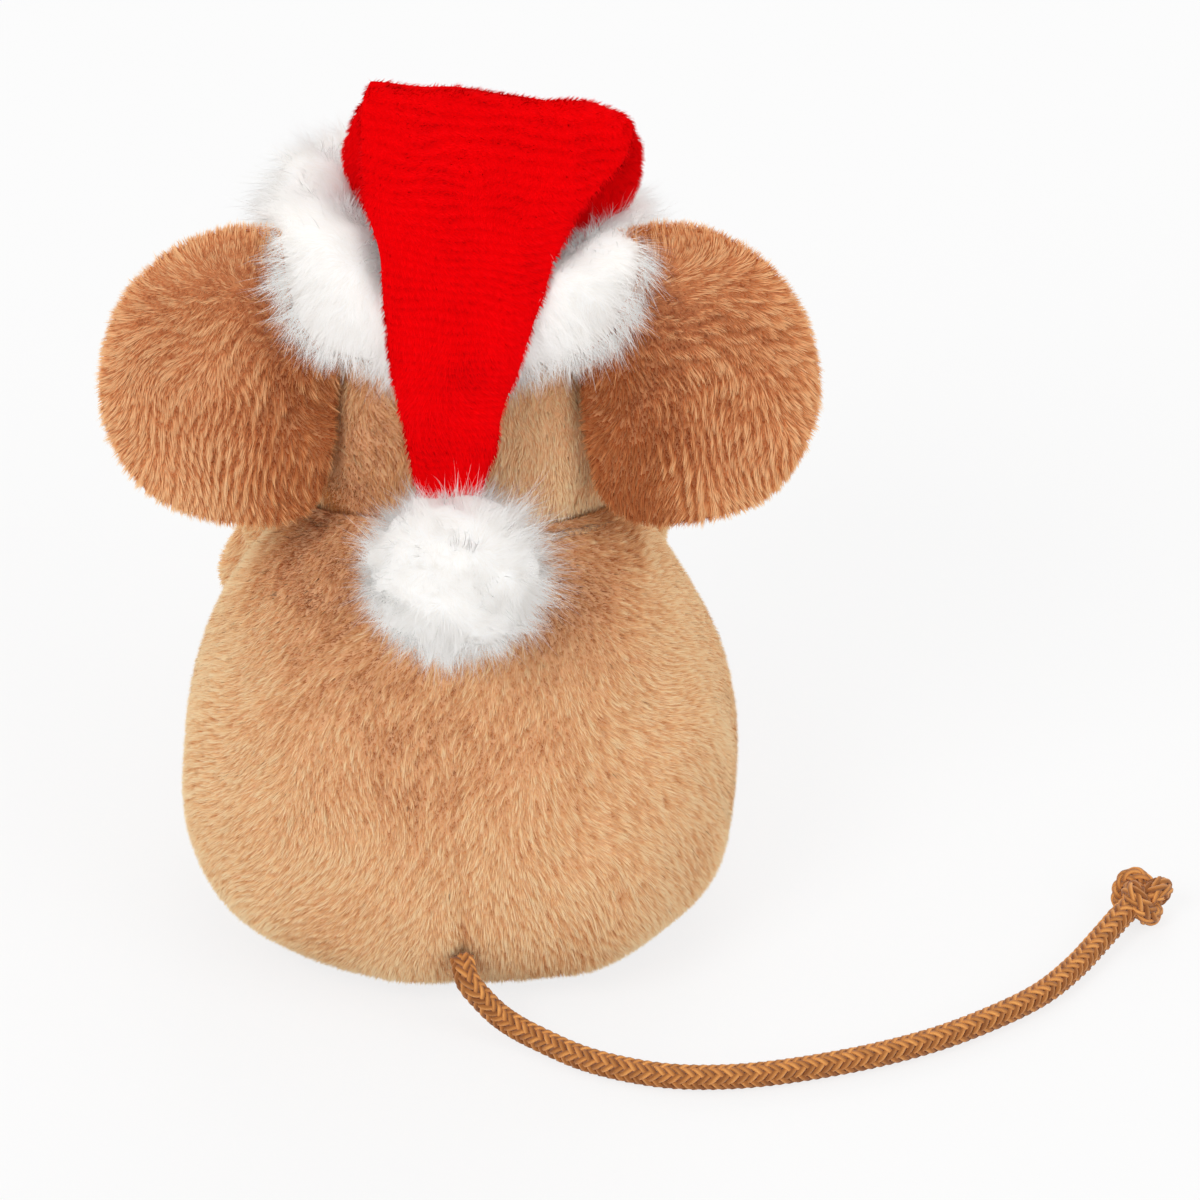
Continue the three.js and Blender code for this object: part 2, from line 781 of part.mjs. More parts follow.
// The flap of the hat: its middle line goes from the fold over the trim and down to the pompom.
const flapHalf = flapThickness / 2;
const trimTop = trimRise + trimHeight / 2;
const trimRear = trimBack + trimRingRadius;
const flapSagShare = 0.72;
const flapWay = new THREE.Vector3(0, Math.sin(radians(flapLean)), Math.cos(radians(flapLean)));
const flapTip = pompomCentre.clone()
  .addScaledVector(flapWay, pompomRadius + seamGap + flapHalf)
  .setX(flapTipShift);
const flapLine = new THREE.CatmullRomCurve3([
  foldPoint,
  new THREE.Vector3(flapShift / 2, -trimRear / 2, trimTop + flapSagShare * (foldPoint.z - trimTop)),
  new THREE.Vector3(0, -trimRear, trimTop + 2 * flapHalf),
  new THREE.Vector3(flapTipShift / 2, -trimRear - trimThickness / 2 - flapHalf - seamGap, trimRise),
  flapTip,
]);
// Rows of the flap: shares of the line, and of the way from the tip's half width to the fold's.
// The round share is the power that fills out the flap's oval section.
const flapRoundShare = 0.75;
const flapRowShares = [
  [0, 1], [0.1, 0.98], [0.22, 0.84], [0.36, 0.64], [0.52, 0.46],
  [0.68, 0.32], [0.84, 0.17], [0.94, 0.06], [1, 0],
];

// A roll that lies across at one end of the flap, for it to turn on
function flapRoll(middle, across, halfWidth) {
  const start = middle.clone().addScaledVector(across, -halfWidth);
  return solidOf(rod(flapHalf, start, across, 2 * halfWidth));
}

function flapForm() {
  const rings = flapRowShares.map(([along, wide]) => {
    const centre = flapLine.getPointAt(along);
    const tangent = flapLine.getTangentAt(along).setX(0).normalize();
    const across = new THREE.Vector3(1, 0, -foldSlope * (1 - along)).normalize();
    const normal = across.clone().cross(tangent).normalize();
    const halfWidth = flapTipHalfWidth + (flapHalfWidth - flapTipHalfWidth) * wide;
    return ringOf(flapSides, (a) => {
      const swell = Math.sign(Math.sin(a)) * Math.abs(Math.sin(a)) ** flapRoundShare;
      return centre.clone()
        .addScaledVector(across, halfWidth * Math.cos(a))
        .addScaledVector(normal, flapHalf * swell);
    });
  });
  return join(
    solidOf(loft(rings)),
    flapRoll(foldPoint, foldAcross, flapHalfWidth),
    flapRoll(flapTip, new THREE.Vector3(1, 0, 0), flapTipHalfWidth),
  );
}

function hatPieces() {
  const headCut = solidOf(ball(headRadius + seamGap));
  const crown = cut(crownForm(0), crownForm(crownCloth, cutOverrun), headCut);
  const wadding = cut(crownForm(crownCloth + seamGap), headCut);
  const trim = cut(solidOf(trimForm(0)), headCut, crownForm(-seamGap));
  const flapRoom = trimForm(seamGap);
  const flap = cut(flapForm(), solidOf(flapRoom), crownForm(-seamGap));
  const pompom = ball(1, origin, pompomSides, pompomRows)
    .scale(pompomHalfWidth, pompomRadius, pompomRadius);
  const pompomMesh = part('hat_pompom', solidOf(pompom), 'whiteFur');
  pompomMesh.position.copy(pompomCentre);
  return [
    part('hat_crown', crown, 'redPlush'),
    part('hat_stuffing', wadding, 'fill'),
    part('hat_trim', trim, 'whiteFur'),
    part('hat_flap', flap, 'redPlush'),
    pompomMesh,
  ];
}

// Arms and feet: a round root, a taper and a fuller end. Rows are shares of the length and of the
// end's radius, and those narrower than the closing share round off the end.
const closingShare = 0.6;
const armRowShares = [[0.3, 0.9], [0.55, 0.86], [0.8, 0.97], [1, 1], [1.18, 0.84], [1.29, 0.45]];
const footRowShares = [[0.2, 0.92], [0.45, 1], [0.65, 1], [0.82, 0.86], [0.94, 0.55]];

function limbForm(limb, length, rows, endRadius, inset) {
  const { root, direction, rootRadius } = limb;
  const rings = rows.map(([far, wide]) => ringOf(limbSides, (a) => new THREE.Vector3(
    (wide * endRadius - inset) * Math.cos(a),
    far * length - (wide < closingShare ? inset : 0),
    (wide * endRadius - inset) * Math.sin(a),
  )));
  const turn = new THREE.Quaternion().setFromUnitVectors(new THREE.Vector3(0, 1, 0), direction);
  const shaft = loft([rings[0].map((p) => p.clone().setY(0)), ...rings]).applyQuaternion(turn);
  const body = bodyForm(-limbRoom - inset, cutOverrun).translate(-root.x, -root.y, -root.z);
  return join(
    solidOf(ball(rootRadius - inset, origin, limbSides, limbSides / 2)),
    cut(solidOf(shaft), solidOf(body)),
  );
}

function limbPieces() {
  return Object.entries(limbs).flatMap(([name, limb]) => {
    const foot = name.startsWith('foot');
    const shape = foot
      ? [footLength, footRowShares, soleRadius]
      : [armLength, armRowShares, pawRadius];
    const rootHole = rod(
      limb.rootRadius / 2,
      origin,
      limb.direction.clone().negate(),
      limb.rootRadius + cutOverrun,
    );
    const floor = solidOf(slab(
      new THREE.Vector3(-bodyWidth, -bodyWidth, -bodyHeight),
      new THREE.Vector3(bodyWidth, bodyWidth, -limb.root.z),
    ));
    const cover = cut(
      limbForm(limb, ...shape, 0),
      limbForm(limb, ...shape, limbPlush),
      solidOf(rootHole),
      ...(foot ? [floor] : []),
    );
    const pieces = [
      part(`${name}_cover`, cover, 'plush'),
      part(`${name}_stuffing`, limbForm(limb, ...shape, limbPlush + seamGap), 'fill'),
    ];
    pieces.forEach((piece) => piece.position.copy(limb.root));
    return pieces;
  });
}

// Tail: one tube along the route, with a round root, then the knot that ends it
function tailPieces() {
  const section = new THREE.Shape(ringOf(cordSides, (a) => (
    new THREE.Vector2(cordRadius * Math.cos(a), cordRadius * Math.sin(a))
  )));
  const tube = new THREE.ExtrudeGeometry(section, {
    steps: cordSteps,
    bevelEnabled: false,
    extrudePath: new THREE.CatmullRomCurve3(cordRoute),
  });
  const end = cordRoute[cordRoute.length - 1];
  const endWay = end.clone().sub(cordRoute[cordRoute.length - 2]).setZ(0).normalize();
  const knot = ball(1, origin, smallSides, smallSides - 4)
    .scale(knotHalfWidth, knotHalfLength, knotHalfHeight);
  const knotMesh = part('tail_knot', solidOf(knot), 'cord');
  knotMesh.position.copy(end).addScaledVector(endWay, knotHalfLength + seamGap).setZ(knotHalfHeight);
  knotMesh.rotation.z = -Math.atan2(endWay.x, endWay.y);
  return [
    part('tail_cord', join(solidOf(tube), solidOf(ball(cordRadius, cordRoot, cordSides, 6))), 'cord'),
    knotMesh,
    part('tail_anchor_knot', ball(anchorRadius, anchorCentre, smallSides, smallSides / 2), 'cord'),
  ];
}

const head = new THREE.Group();
head.position.copy(headCentre);
head.add(...headPieces(), earPieces(-1, 'left'), earPieces(1, 'right'), ...hatPieces());

const mouse = new THREE.Group();
mouse.add(
  ...bodyPieces(),
  ...squeakerPieces(),
  part('neck_stitch', stitchRing(0), 'thread'),
  ...limbPieces(),
  ...tailPieces(),
  head,
);

export default mouse;
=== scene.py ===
import math

import bpy
import numpy as np
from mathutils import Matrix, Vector
from mathutils.bvhtree import BVHTree


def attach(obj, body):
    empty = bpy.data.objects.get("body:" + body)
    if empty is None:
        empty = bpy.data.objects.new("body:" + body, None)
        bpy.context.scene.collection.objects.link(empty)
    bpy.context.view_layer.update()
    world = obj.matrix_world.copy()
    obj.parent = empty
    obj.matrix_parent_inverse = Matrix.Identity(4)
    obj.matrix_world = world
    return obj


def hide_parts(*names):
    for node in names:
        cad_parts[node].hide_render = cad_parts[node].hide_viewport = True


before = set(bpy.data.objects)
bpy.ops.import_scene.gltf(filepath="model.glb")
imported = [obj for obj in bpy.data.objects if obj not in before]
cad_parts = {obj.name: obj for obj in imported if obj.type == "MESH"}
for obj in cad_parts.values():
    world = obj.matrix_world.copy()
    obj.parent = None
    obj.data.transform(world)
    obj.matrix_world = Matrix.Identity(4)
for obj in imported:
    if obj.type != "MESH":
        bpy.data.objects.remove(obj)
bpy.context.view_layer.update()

# Lengths below are in millimetres, in the frame's axes, and become metres when a mesh is made.
MM = 0.001
ACROSS, UP = np.array([1.0, 0.0, 0.0]), np.array([0.0, 0.0, 1.0])


# Camera, at the photograph's angle

TARGET = Vector((0.0193, 0.0, 0.0489))
DISTANCE = 1.6
ELEVATION = math.radians(35)

camera_data = bpy.data.cameras.new("photo_camera")
camera_data.sensor_width = 36
camera_data.lens = 342.86
camera_data.clip_start = 0.05
camera_data.clip_end = 20
camera = bpy.data.objects.new("photo_camera", camera_data)
camera.location = TARGET + DISTANCE * Vector((0, -math.cos(ELEVATION), math.sin(ELEVATION)))
camera.rotation_euler = (math.pi / 2 - ELEVATION, 0, 0)
bpy.context.scene.collection.objects.link(camera)
bpy.context.scene.camera = camera


# Curves and fields

def norms(vectors):
    return np.linalg.norm(vectors, axis=-1)


def unit(vectors):
    vectors = np.asarray(vectors, float)
    return vectors / np.maximum(norms(vectors)[..., None], 1e-12)


def columns(*values):
    return np.stack(np.broadcast_arrays(*values), axis=1)


def distances(path):
    return np.concatenate([[0], np.cumsum(norms(np.diff(path, axis=0)))])


def turns(count):
    return 2 * np.pi * np.arange(count) / count


def circle(count, side, top):
    """A ring of offsets between two directions, or one ring for each pair of them."""
    a = turns(count)[:, None]
    return np.cos(a) * np.asarray(side)[..., None, :] + np.sin(a) * np.asarray(top)[..., None, :]


def bowed(values, power):
    return np.sign(values) * np.abs(values) ** power


def bump(x, centre, width):
    return np.exp(-(((x - centre) / width) ** 2))


def spline(points, count, closed=False):
    """Points spaced evenly along a centripetal curve through the given ones."""
    p = np.asarray(points, float)
    p = np.vstack([p[-1], p, p[0], p[1]] if closed else [2 * p[0] - p[1], p, 2 * p[-1] - p[-2]])
    dense = []
    for corners in zip(p[:-3], p[1:-2], p[2:-1], p[3:]):
        knots = np.cumsum([0, *(max(gap, 1e-6) ** 0.5 for gap in norms(np.diff(corners, axis=0)))])
        t = np.linspace(knots[1], knots[2], 25)[:-1, None]
        for starts, ends in (((0, 1, 2), (1, 2, 3)), ((0, 1), (2, 3)), ((1,), (2,))):
            corners = [((knots[j] - t) * a + (t - knots[i]) * b) / (knots[j] - knots[i])
                       for i, j, a, b in zip(starts, ends, corners, corners[1:])]
        dense.append(corners[0])
    dense = np.vstack(dense + [p[-2][None]])
    along = distances(dense)
    wanted = np.linspace(0, along[-1], count + 1)[:-1] if closed else np.linspace(0, along[-1], count)
    return columns(*(np.interp(wanted, along, dense[:, k]) for k in range(p.shape[1])))


def rounded(profile, count, width):
    """An open profile, evenly spaced and softened over a width."""
    line = spline(profile, count)
    step = norms(line[1] - line[0])
    for _ in range(int((width / step) ** 2)):
        line[1:-1] += 0.25 * (line[2:] + line[:-2] - 2 * line[1:-1])
    return line


def waves(points, wavelength, seed, terms=14):
    """A smooth random field with a spread of one, the same each run."""
    rng = np.random.default_rng(seed)
    ways = unit(rng.normal(size=(terms, 3)))
    pitch = 2 * np.pi / (wavelength * rng.uniform(0.7, 1.4, terms))
    phase = rng.uniform(0, 2 * np.pi, terms)
    return np.sin(points @ (ways * pitch[:, None]).T + phase).sum(axis=1) * math.sqrt(2 / terms)


def three_waves(points, wavelength, seed):
    return columns(*(waves(points, wavelength, seed + k) for k in range(3)))


def streaks(points, flows, wavelength, reach, seed):
    """A fine random field with a spread of one, drawn out along the flow of the pile."""
    total = sum(waves(points + flows * step, wavelength, seed) for step in np.linspace(-reach, reach, 7))
    return total / total.std()


def turned(vectors, axes, angles):
    """Each vector turned about its own axis, which is square to it."""
    return vectors * np.cos(angles)[:, None] + np.cross(axes, vectors) * np.sin(angles)[:, None]


def flow_along(ways, normals, swirl=None):
    """The part of each way that lies in the surface, made a unit long and turned by some degrees."""
    flows = unit(ways - (ways * normals).sum(axis=1, keepdims=True) * normals)
    return flows if swirl is None else turned(flows, normals, np.radians(swirl))


# Skins: points in millimetres, and triangles

def skin_of(rings, closed=False):
    """A skin through rings of points. An open end is closed by a point in the middle of its ring."""
    rings = np.asarray(rings)
    rows, sides = rings.shape[:2]
    points = rings.reshape(-1, 3)
    i = np.arange(sides)
    j = (i + 1) % sides
    faces = []
    for row in range(rows if closed else rows - 1):
        a, b = row * sides, (row + 1) % rows * sides
        faces += [np.stack([a + i, a + j, b + j], 1), np.stack([a + i, b + j, b + i], 1)]
    if not closed:
        first, last, end = np.full(sides, rows * sides), np.full(sides, rows * sides + 1), (rows - 1) * sides
        points = np.vstack([points, rings[0].mean(axis=0), rings[-1].mean(axis=0)])
        faces += [np.stack([first, j, i], 1), np.stack([last, end + i, end + j], 1)]
    faces = np.vstack(faces)
    a, b, c = (points[faces[:, k]] for k in range(3))
    inside_out = (a * np.cross(b, c)).sum() < 0
    return points, faces[:, ::-1] if inside_out else faces


def lathe(origin, way, profile, count):
    """Rings about an axis. A profile row is the distance along the axis and the radius."""
    side = unit(np.cross(way, UP))
    radii = np.maximum(profile[:, None, 1:], 0)
    return origin + profile[:, None, :1] * way + radii * circle(count, side, np.cross(side, way))


def joined(skins):
    starts = np.cumsum([0] + [len(points) for points, _ in skins])
    return (np.vstack([points for points, _ in skins]),
            np.vstack([faces + start for (_, faces), start in zip(skins, starts)]))


def squares_of(points, faces):
    """For each triangle, a vector that is square to it and twice its area long."""
    a, b, c = (points[faces[:, k]] for k in range(3))
    return np.cross(b - a, c - a)


def normals_of(points, faces):
    squares = squares_of(points, faces)
    total = np.zeros_like(points)
    for k in range(3):
        np.add.at(total, faces[:, k], squares)
    return unit(total)


def cupped(points, centre, radius, way):
    """Points inside a ball move back against a direction, down to the ball's far side."""
    rel = points - centre
    square = (rel ** 2).sum(axis=-1)
    along = rel @ way
    target = -np.sqrt(np.maximum(radius ** 2 - (square - along ** 2), 0))
    return points + np.where(square < radius ** 2, target - along, 0)[..., None] * way


def carried_frames(path, closed=False):
    """Two square directions that turn as little as they can along a path."""
    ahead = np.roll(path, -1, axis=0) - np.roll(path, 1, axis=0) if closed else np.gradient(path, axis=0)
    tangents = unit(ahead)
    ups = [unit(np.cross(tangents[0], [0.31, 0.17, 0.93]))]
    for t in tangents[1:]:
        ups.append(unit(ups[-1] - np.dot(ups[-1], t) * t))
    ups = np.array(ups)
    if closed:
        seam = np.arctan2(np.dot(np.cross(ups[-1], ups[0]), tangents[0]), np.dot(ups[-1], ups[0]))
        ups = turned(ups, tangents, seam * np.arange(len(path)) / len(path))
    return ups, np.cross(tangents, ups)


def plaited(path, radius, carriers, lead, closed=False):
    """A round plaited cord: strands that wind both ways and pass over and under each other."""
    along = distances(path)
    ups, acrosses = carried_frames(path, closed)
    half_thick = 0.19 * radius
    wave = 0.115 * radius
    middle = radius - half_thick - wave
    slope = 2 * np.pi * middle / lead
    half_wide = 0.52 * (2 * np.pi * middle / carriers) * math.cos(math.atan(slope))
    # Round a strand's section the map moves between the yarn colour's painted shade and its painted highlight
    height = 0.05 + 0.9 * np.abs(np.arange(6) - 2.5) / 2.5
    skins, uvs = [], []
    for hand in (1, -1):
        for k in range(carriers):
            angle = hand * 2 * np.pi * along / lead + 2 * np.pi * k / carriers
            outward = ups * np.cos(angle)[:, None] + acrosses * np.sin(angle)[:, None]
            start = 2 * k - 0.5 if hand > 0 else -2 * k - 1.5
            lift = middle + wave * np.cos(np.pi / 2 * (2 * carriers * along / lead + start))
            line = path + outward * lift[:, None]
            across = unit(np.cross(unit(np.gradient(line, axis=0)), outward))
            skins.append(skin_of(line[:, None] + circle(6, half_wide * across, half_thick * outward), closed))
            tone = 0.08 + 0.84 * (0.5 + 0.5 * np.sin(along * 2 * np.pi / (1.7 * lead) + 2.4 * k + hand))
            uvs.append(columns(np.tile(height, len(line)), np.repeat(tone, 6)))
            if not closed:
                uvs.append([[0.5, tone[0]], [0.5, tone[-1]]])
    # A core inside the strands takes the yarn's darkest colour, as painted shade where it shows between them
    skins.append(skin_of(path[:, None] + (middle - 0.3 * half_thick) * circle(10, ups, acrosses), closed))
    count = len(skins[-1][0])
    uvs.append(columns(0.02, np.linspace(0.02, 0.06, count)))
    return joined(skins), np.vstack(uvs)


# Pieces

def piece(name, skin, look, body, replaced=(), uv=None):
    """A mesh from a skin, which moves with a body and may stand for some of its solids."""
    points, faces = skin
    faces = np.asarray(faces, np.int32)
    mesh = bpy.data.meshes.new(name)
    mesh.vertices.add(len(points))
    mesh.vertices.foreach_set("co", (np.asarray(points) * MM).astype(np.float32).ravel())
    mesh.loops.add(faces.size)
    mesh.loops.foreach_set("vertex_index", faces.ravel())
    mesh.polygons.add(len(faces))
    mesh.polygons.foreach_set("loop_start", np.arange(0, faces.size, 3, dtype=np.int32))
    mesh.polygons.foreach_set("use_smooth", np.ones(len(faces), bool))
    mesh.update(calc_edges=True)
    if uv is not None:
        layer = mesh.uv_layers.new(name="OFBake")
        layer.uv.foreach_set("vector", uv[faces.ravel()].astype(np.float32).ravel())
    mesh.materials.append(look)
    made = bpy.data.objects.new(name, mesh)
    bpy.context.scene.collection.objects.link(made)
    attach(made, body)
    if replaced:
        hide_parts(*replaced)
    return made


def scatter(skin, density, rng, keep=None):
    """Random root points on a skin, so many to the square millimetre, with their normals."""
    points, faces = skin
    normals = normals_of(points, faces)
    area = norms(squares_of(points, faces)) / 2
    count = int(area.sum() * density)
    picked = np.searchsorted(np.cumsum(area) / area.sum(), rng.random(count))
    u, v = rng.random(count), rng.random(count)
    over = u + v > 1
    u[over], v[over] = 1 - u[over], 1 - v[over]
    corners = faces[np.minimum(picked, len(faces) - 1)]
    shares = [s[:, None] for s in (1 - u - v, u, v)]
    roots = sum(s * points[corners[:, k]] for k, s in enumerate(shares))
    square = unit(sum(s * normals[corners[:, k]] for k, s in enumerate(shares)))
    if keep is not None:
        kept = keep(roots, square)
        roots, square = roots[kept], square[kept]
    return roots, square


def obstacle(skin):
    points, faces = skin
    return BVHTree.FromPolygons([Vector(p) for p in points], [tuple(int(k) for k in f) for f in faces])


def shortened(roots, ways, lengths, obstacles):
    """Strand lengths cut back where a straight strand would enter a neighbour."""
    lengths = lengths.copy()
    for tree in obstacles:
        for n in range(len(roots)):
            hit = tree.ray_cast(Vector(roots[n]), Vector(ways[n]), float(lengths[n]) * 1.1)
            if hit[3] is not None:
                lengths[n] = max(hit[3] * 0.8, 0.02)
    return lengths


def lay(rng, normals, flows, lean, spread, least, most):
    """Ways of blades that lean so many degrees from the normal towards the flow, with a random spread."""
    lean = np.radians(np.clip(lean + rng.normal(0, spread, len(normals)), least, most))[:, None]
    return unit(normals * np.cos(lean) + flows * np.sin(lean))


# No blade comes nearer to the floor than this
FLOOR_GAP = 0.15


def strands(name, look, body, blades, width, rng,
            steps=1, shift=None, twist=0.6, soften=0.0, shadow=True):
    """Pile or fur as thin tapering blades. A blade leaves its root along its way and may bend by a vector."""
    roots, normals, ways, lengths, tints, *bends = blades
    count = len(roots)
    side = unit(np.cross(ways, normals) + 1e-4 * rng.normal(size=(count, 3)))
    side = turned(side, ways, rng.normal(0, twist, count))
    side = side * (width * rng.uniform(0.7, 1.3, count) / 2)[:, None]
    points, along = [], []
    for t in np.linspace(0, 1, steps + 1):
        middle = roots + ways * (lengths * t)[:, None]
        for bend in bends:
            middle = middle + bend * (lengths * t * t)[:, None]
        if shift is not None:
            middle = shift(middle, roots)
        wide = (1 - t) ** 0.6
        points += [middle - side * wide, middle + side * wide] if t < 1 else [middle]
        along += [t, t] if t < 1 else [t]
    per = len(points)
    points = np.stack(points, axis=1).reshape(-1, 3)
    points[:, 2] = np.maximum(points[:, 2], FLOOR_GAP)
    pattern = []
    for a in range(0, 2 * steps - 2, 2):
        pattern += [[a, a + 1, a + 3], [a, a + 3, a + 2]]
    pattern.append([per - 3, per - 2, per - 1])
    faces = (np.arange(count) * per)[:, None, None] + np.array(pattern)[None]
    tint = np.clip(tints, 0.03, 0.97)[:, None] + np.where(np.arange(per) % 2, 0.012, -0.012)[None]
    height = np.broadcast_to(0.02 + 0.96 * np.array(along), (count, per))
    uv = np.stack([height, tint], axis=2).reshape(-1, 2)
    made = piece(name, (points, faces.reshape(-1, 3)), look, body, uv=uv)
    # Hairs that are fine enough to let the light through leave no shadow on each other
    made.visible_shadow = shadow
    if soften:
        # The blades of a soft fur take most of their shading from the surface that they lie on
        own = unit(np.cross(side, ways))
        own *= np.sign((own * normals).sum(axis=1, keepdims=True))
        shading = unit(soften * normals + (1 - soften) * own)
        made.data.normals_split_custom_set_from_vertices(np.repeat(shading, per, axis=0))


# Materials

def put(socket, value):
    """Link another node's output to a socket, or set the socket to a value."""
    if isinstance(value, bpy.types.NodeSocket):
        socket.id_data.links.new(value, socket)
    else:
        socket.default_value = value


def wire(node, **settings):
    """Set a node's inputs by their names, and its other settings."""
    for key, value in settings.items():
        socket = node.inputs.get(key.replace("_", " "))
        if socket is None:
            setattr(node, key, value)
        else:
            put(socket, value)
    return node


def add(tree, kind, *sources, **settings):
    """A new node. Its first inputs take the sources, in their order."""
    made = wire(tree.nodes.new("ShaderNode" + kind), **settings)
    for socket, source in zip(made.inputs, sources):
        put(socket, source)
    return made


def rgba(colour):
    """Linear values of a colour that is written in 0 to 255."""
    return [c / 255 / 12.92 if c <= 10 else ((c / 255 + 0.055) / 1.055) ** 2.4 for c in colour] + [1]


def new_material(name, **settings):
    made = bpy.data.materials.new(name)
    made.use_nodes = True
    tree = made.node_tree
    return made, tree, wire(tree.nodes["Principled BSDF"], **settings)


def ramp(tree, source, stops):
    made = add(tree, "ValToRGB", source)
    colours = made.color_ramp.elements
    while len(colours) < len(stops):
        colours.new(0.5)
    for element, (at, colour) in zip(colours, stops):
        element.position = at
        element.color = rgba(colour)
    return made.outputs["Color"]


def by_blade(tree, across, along):
    """Two runs of colour over the two directions of a blade's or strand's map, multiplied."""
    uv = add(tree, "UVMap", uv_map="OFBake")
    split = add(tree, "SeparateXYZ", uv.outputs["UV"])
    mix = add(tree, "Mix", 1.0, data_type="RGBA", blend_type="MULTIPLY")
    put(mix.inputs[6], ramp(tree, split.outputs["X"], across))
    put(mix.inputs[7], ramp(tree, split.outputs["Y"], along))
    return mix.outputs[2]


def noise(tree, stretch=(1, 1, 1), **settings):
    place_at = add(tree, "TexCoord")
    mapped = add(tree, "Mapping", place_at.outputs["Object"], Scale=stretch)
    return add(tree, "TexNoise", mapped.outputs["Vector"], **settings).outputs["Fac"]


def relief(tree, height, strength, distance):
    return add(tree, "Bump", Height=height, Strength=strength, Distance=distance).outputs["Normal"]


def pile_look(name, heights, tints, sheen=0.3, sheen_tint=(255, 225, 195), shine=0.15):
    """Pile or fur: one run of colour from root to tip, and one from the darkest blade to the lightest."""
    made, tree, shader = new_material(name, Roughness=0.85, Sheen_Weight=sheen, Sheen_Roughness=0.4,
                                      Sheen_Tint=rgba(sheen_tint), Specular_IOR_Level=shine)
    wire(shader, Base_Color=by_blade(tree, heights, tints))
    return made


def cloth_look(name, dark, light, scale, roughness=0.9, depth=0.3, stretch=(1, 1, 1), shine=0.2, sheen=0.0):
    """The knitted backing under a pile: mottled colour and a fine fibre relief."""
    made, tree, shader = new_material(name, Roughness=roughness, Sheen_Weight=sheen, Specular_IOR_Level=shine)
    fibres = noise(tree, stretch, Scale=scale, Detail=6.0, Roughness=0.7)
    wire(shader, Base_Color=ramp(tree, fibres, [(0.3, dark), (0.7, light)]),
         Normal=relief(tree, fibres, depth, 0.0004))
    return made


def yarn_look(name, across, along):
    """Plaited yarn: a painted highlight on the crown of a strand and painted shade in the grooves, with fine
    twisted fibres.
    """
    made, tree, shader = new_material(name, Roughness=0.8, Sheen_Weight=0.25, Specular_IOR_Level=0.3)
    fibres = noise(tree, Scale=5200.0, Detail=4.0, Roughness=0.6)
    wire(shader, Base_Color=by_blade(tree, across, along), Normal=relief(tree, fibres, 0.5, 0.00012))
    return made


TAN_TINTS = [(0.0, (190, 134, 100)), (0.35, (230, 190, 158)), (0.65, (253, 240, 222)), (1.0, (255, 253, 246))]
tan_pile = pile_look("tan_pile", [(0.0, (244, 194, 148)), (0.4, (255, 224, 180)), (1.0, (255, 242, 210))],
                     TAN_TINTS)
ear_pile = pile_look("ear_pile", [(0.0, (226, 150, 100)), (0.4, (252, 200, 150)), (1.0, (255, 224, 180))],
                     TAN_TINTS)
red_pile = pile_look("red_pile", [(0.0, (244, 0, 6)), (0.5, (252, 4, 12)), (1.0, (255, 10, 20))],
                     [(0.0, (210, 200, 200)), (0.5, (244, 240, 240)), (1.0, (255, 252, 252))],
                     sheen=0.1, sheen_tint=(255, 20, 20), shine=0.02)
white_fur = pile_look("white_fur", [(0.0, (249, 246, 242)), (0.5, (254, 252, 250)), (1.0, (255, 255, 254))],
                      [(0.0, (246, 245, 244)), (0.5, (253, 253, 252)), (1.0, (255, 255, 255))],
                      sheen=1.0, sheen_tint=(255, 255, 255))
tan_backing = cloth_look("tan_backing", (226, 172, 126), (244, 194, 148), 900.0)
ear_backing = cloth_look("ear_backing", (196, 126, 82), (222, 156, 106), 900.0)
red_backing = cloth_look("red_backing", (226, 0, 4), (244, 2, 8), 1400.0, stretch=(1, 1, 3), shine=0.02)
white_backing = cloth_look("white_backing", (250, 249, 248), (254, 254, 253), 500.0, sheen=0.5)
whisker_thread = cloth_look("whisker_thread", (24, 18, 15), (52, 42, 36), 1600.0, roughness=0.5, depth=0.15)
# The cord's colour runs from painted shade in the grooves to a painted highlight on the crowns of its strands
cord_yarn = yarn_look(
    "cord_yarn",
    [(0.0, (112, 66, 28)), (0.35, (194, 128, 66)), (0.7, (248, 180, 104)), (1.0, (204, 134, 70))],
    [(0.0, (205, 190, 175)), (0.5, (240, 228, 214)), (1.0, (255, 250, 240))],
)
# The thread also has painted shade in its grooves and a painted highlight on the crowns of its strands
sewing_thread = yarn_look(
    "sewing_thread",
    [(0.0, (176, 126, 86)), (0.5, (220, 170, 122)), (1.0, (190, 140, 96))],
    [(0.0, (220, 210, 200)), (1.0, (255, 250, 244))],
)

# A moulded bead: deep black with faint scuffs in its gloss
bead_black, tree, shader = new_material("bead_black", Base_Color=rgba((5, 5, 6)), Coat_Weight=0.25,
                                        Coat_Roughness=0.03, Specular_IOR_Level=0.3)
scuffs = add(tree, "MapRange", noise(tree, Scale=900.0, Detail=4.0), To_Min=0.096, To_Max=0.18)
wire(shader, Roughness=scuffs.outputs["Result"])

# Moulded plastic with a faint flow pattern and a fine orange-peel relief
squeaker_plastic, tree, shader = new_material("squeaker_plastic", Roughness=0.45)
wire(shader, Base_Color=ramp(tree, noise(tree, Scale=120.0, Detail=3.0, Distortion=1.5),
                             [(0.35, (224, 221, 212)), (0.65, (238, 236, 229))]),
     Normal=relief(tree, noise(tree, Scale=1500.0, Detail=2.0), 0.15, 0.0001))


# Sizes that the pieces share with the frame

PILE = 1.2
VELOUR = 0.45
# Room between two pieces that meet at a joint
GAP = 0.3
BODY_HEIGHT, BODY_HALF, BODY_BACK, BODY_FRONT = 80, 39, 36, 35
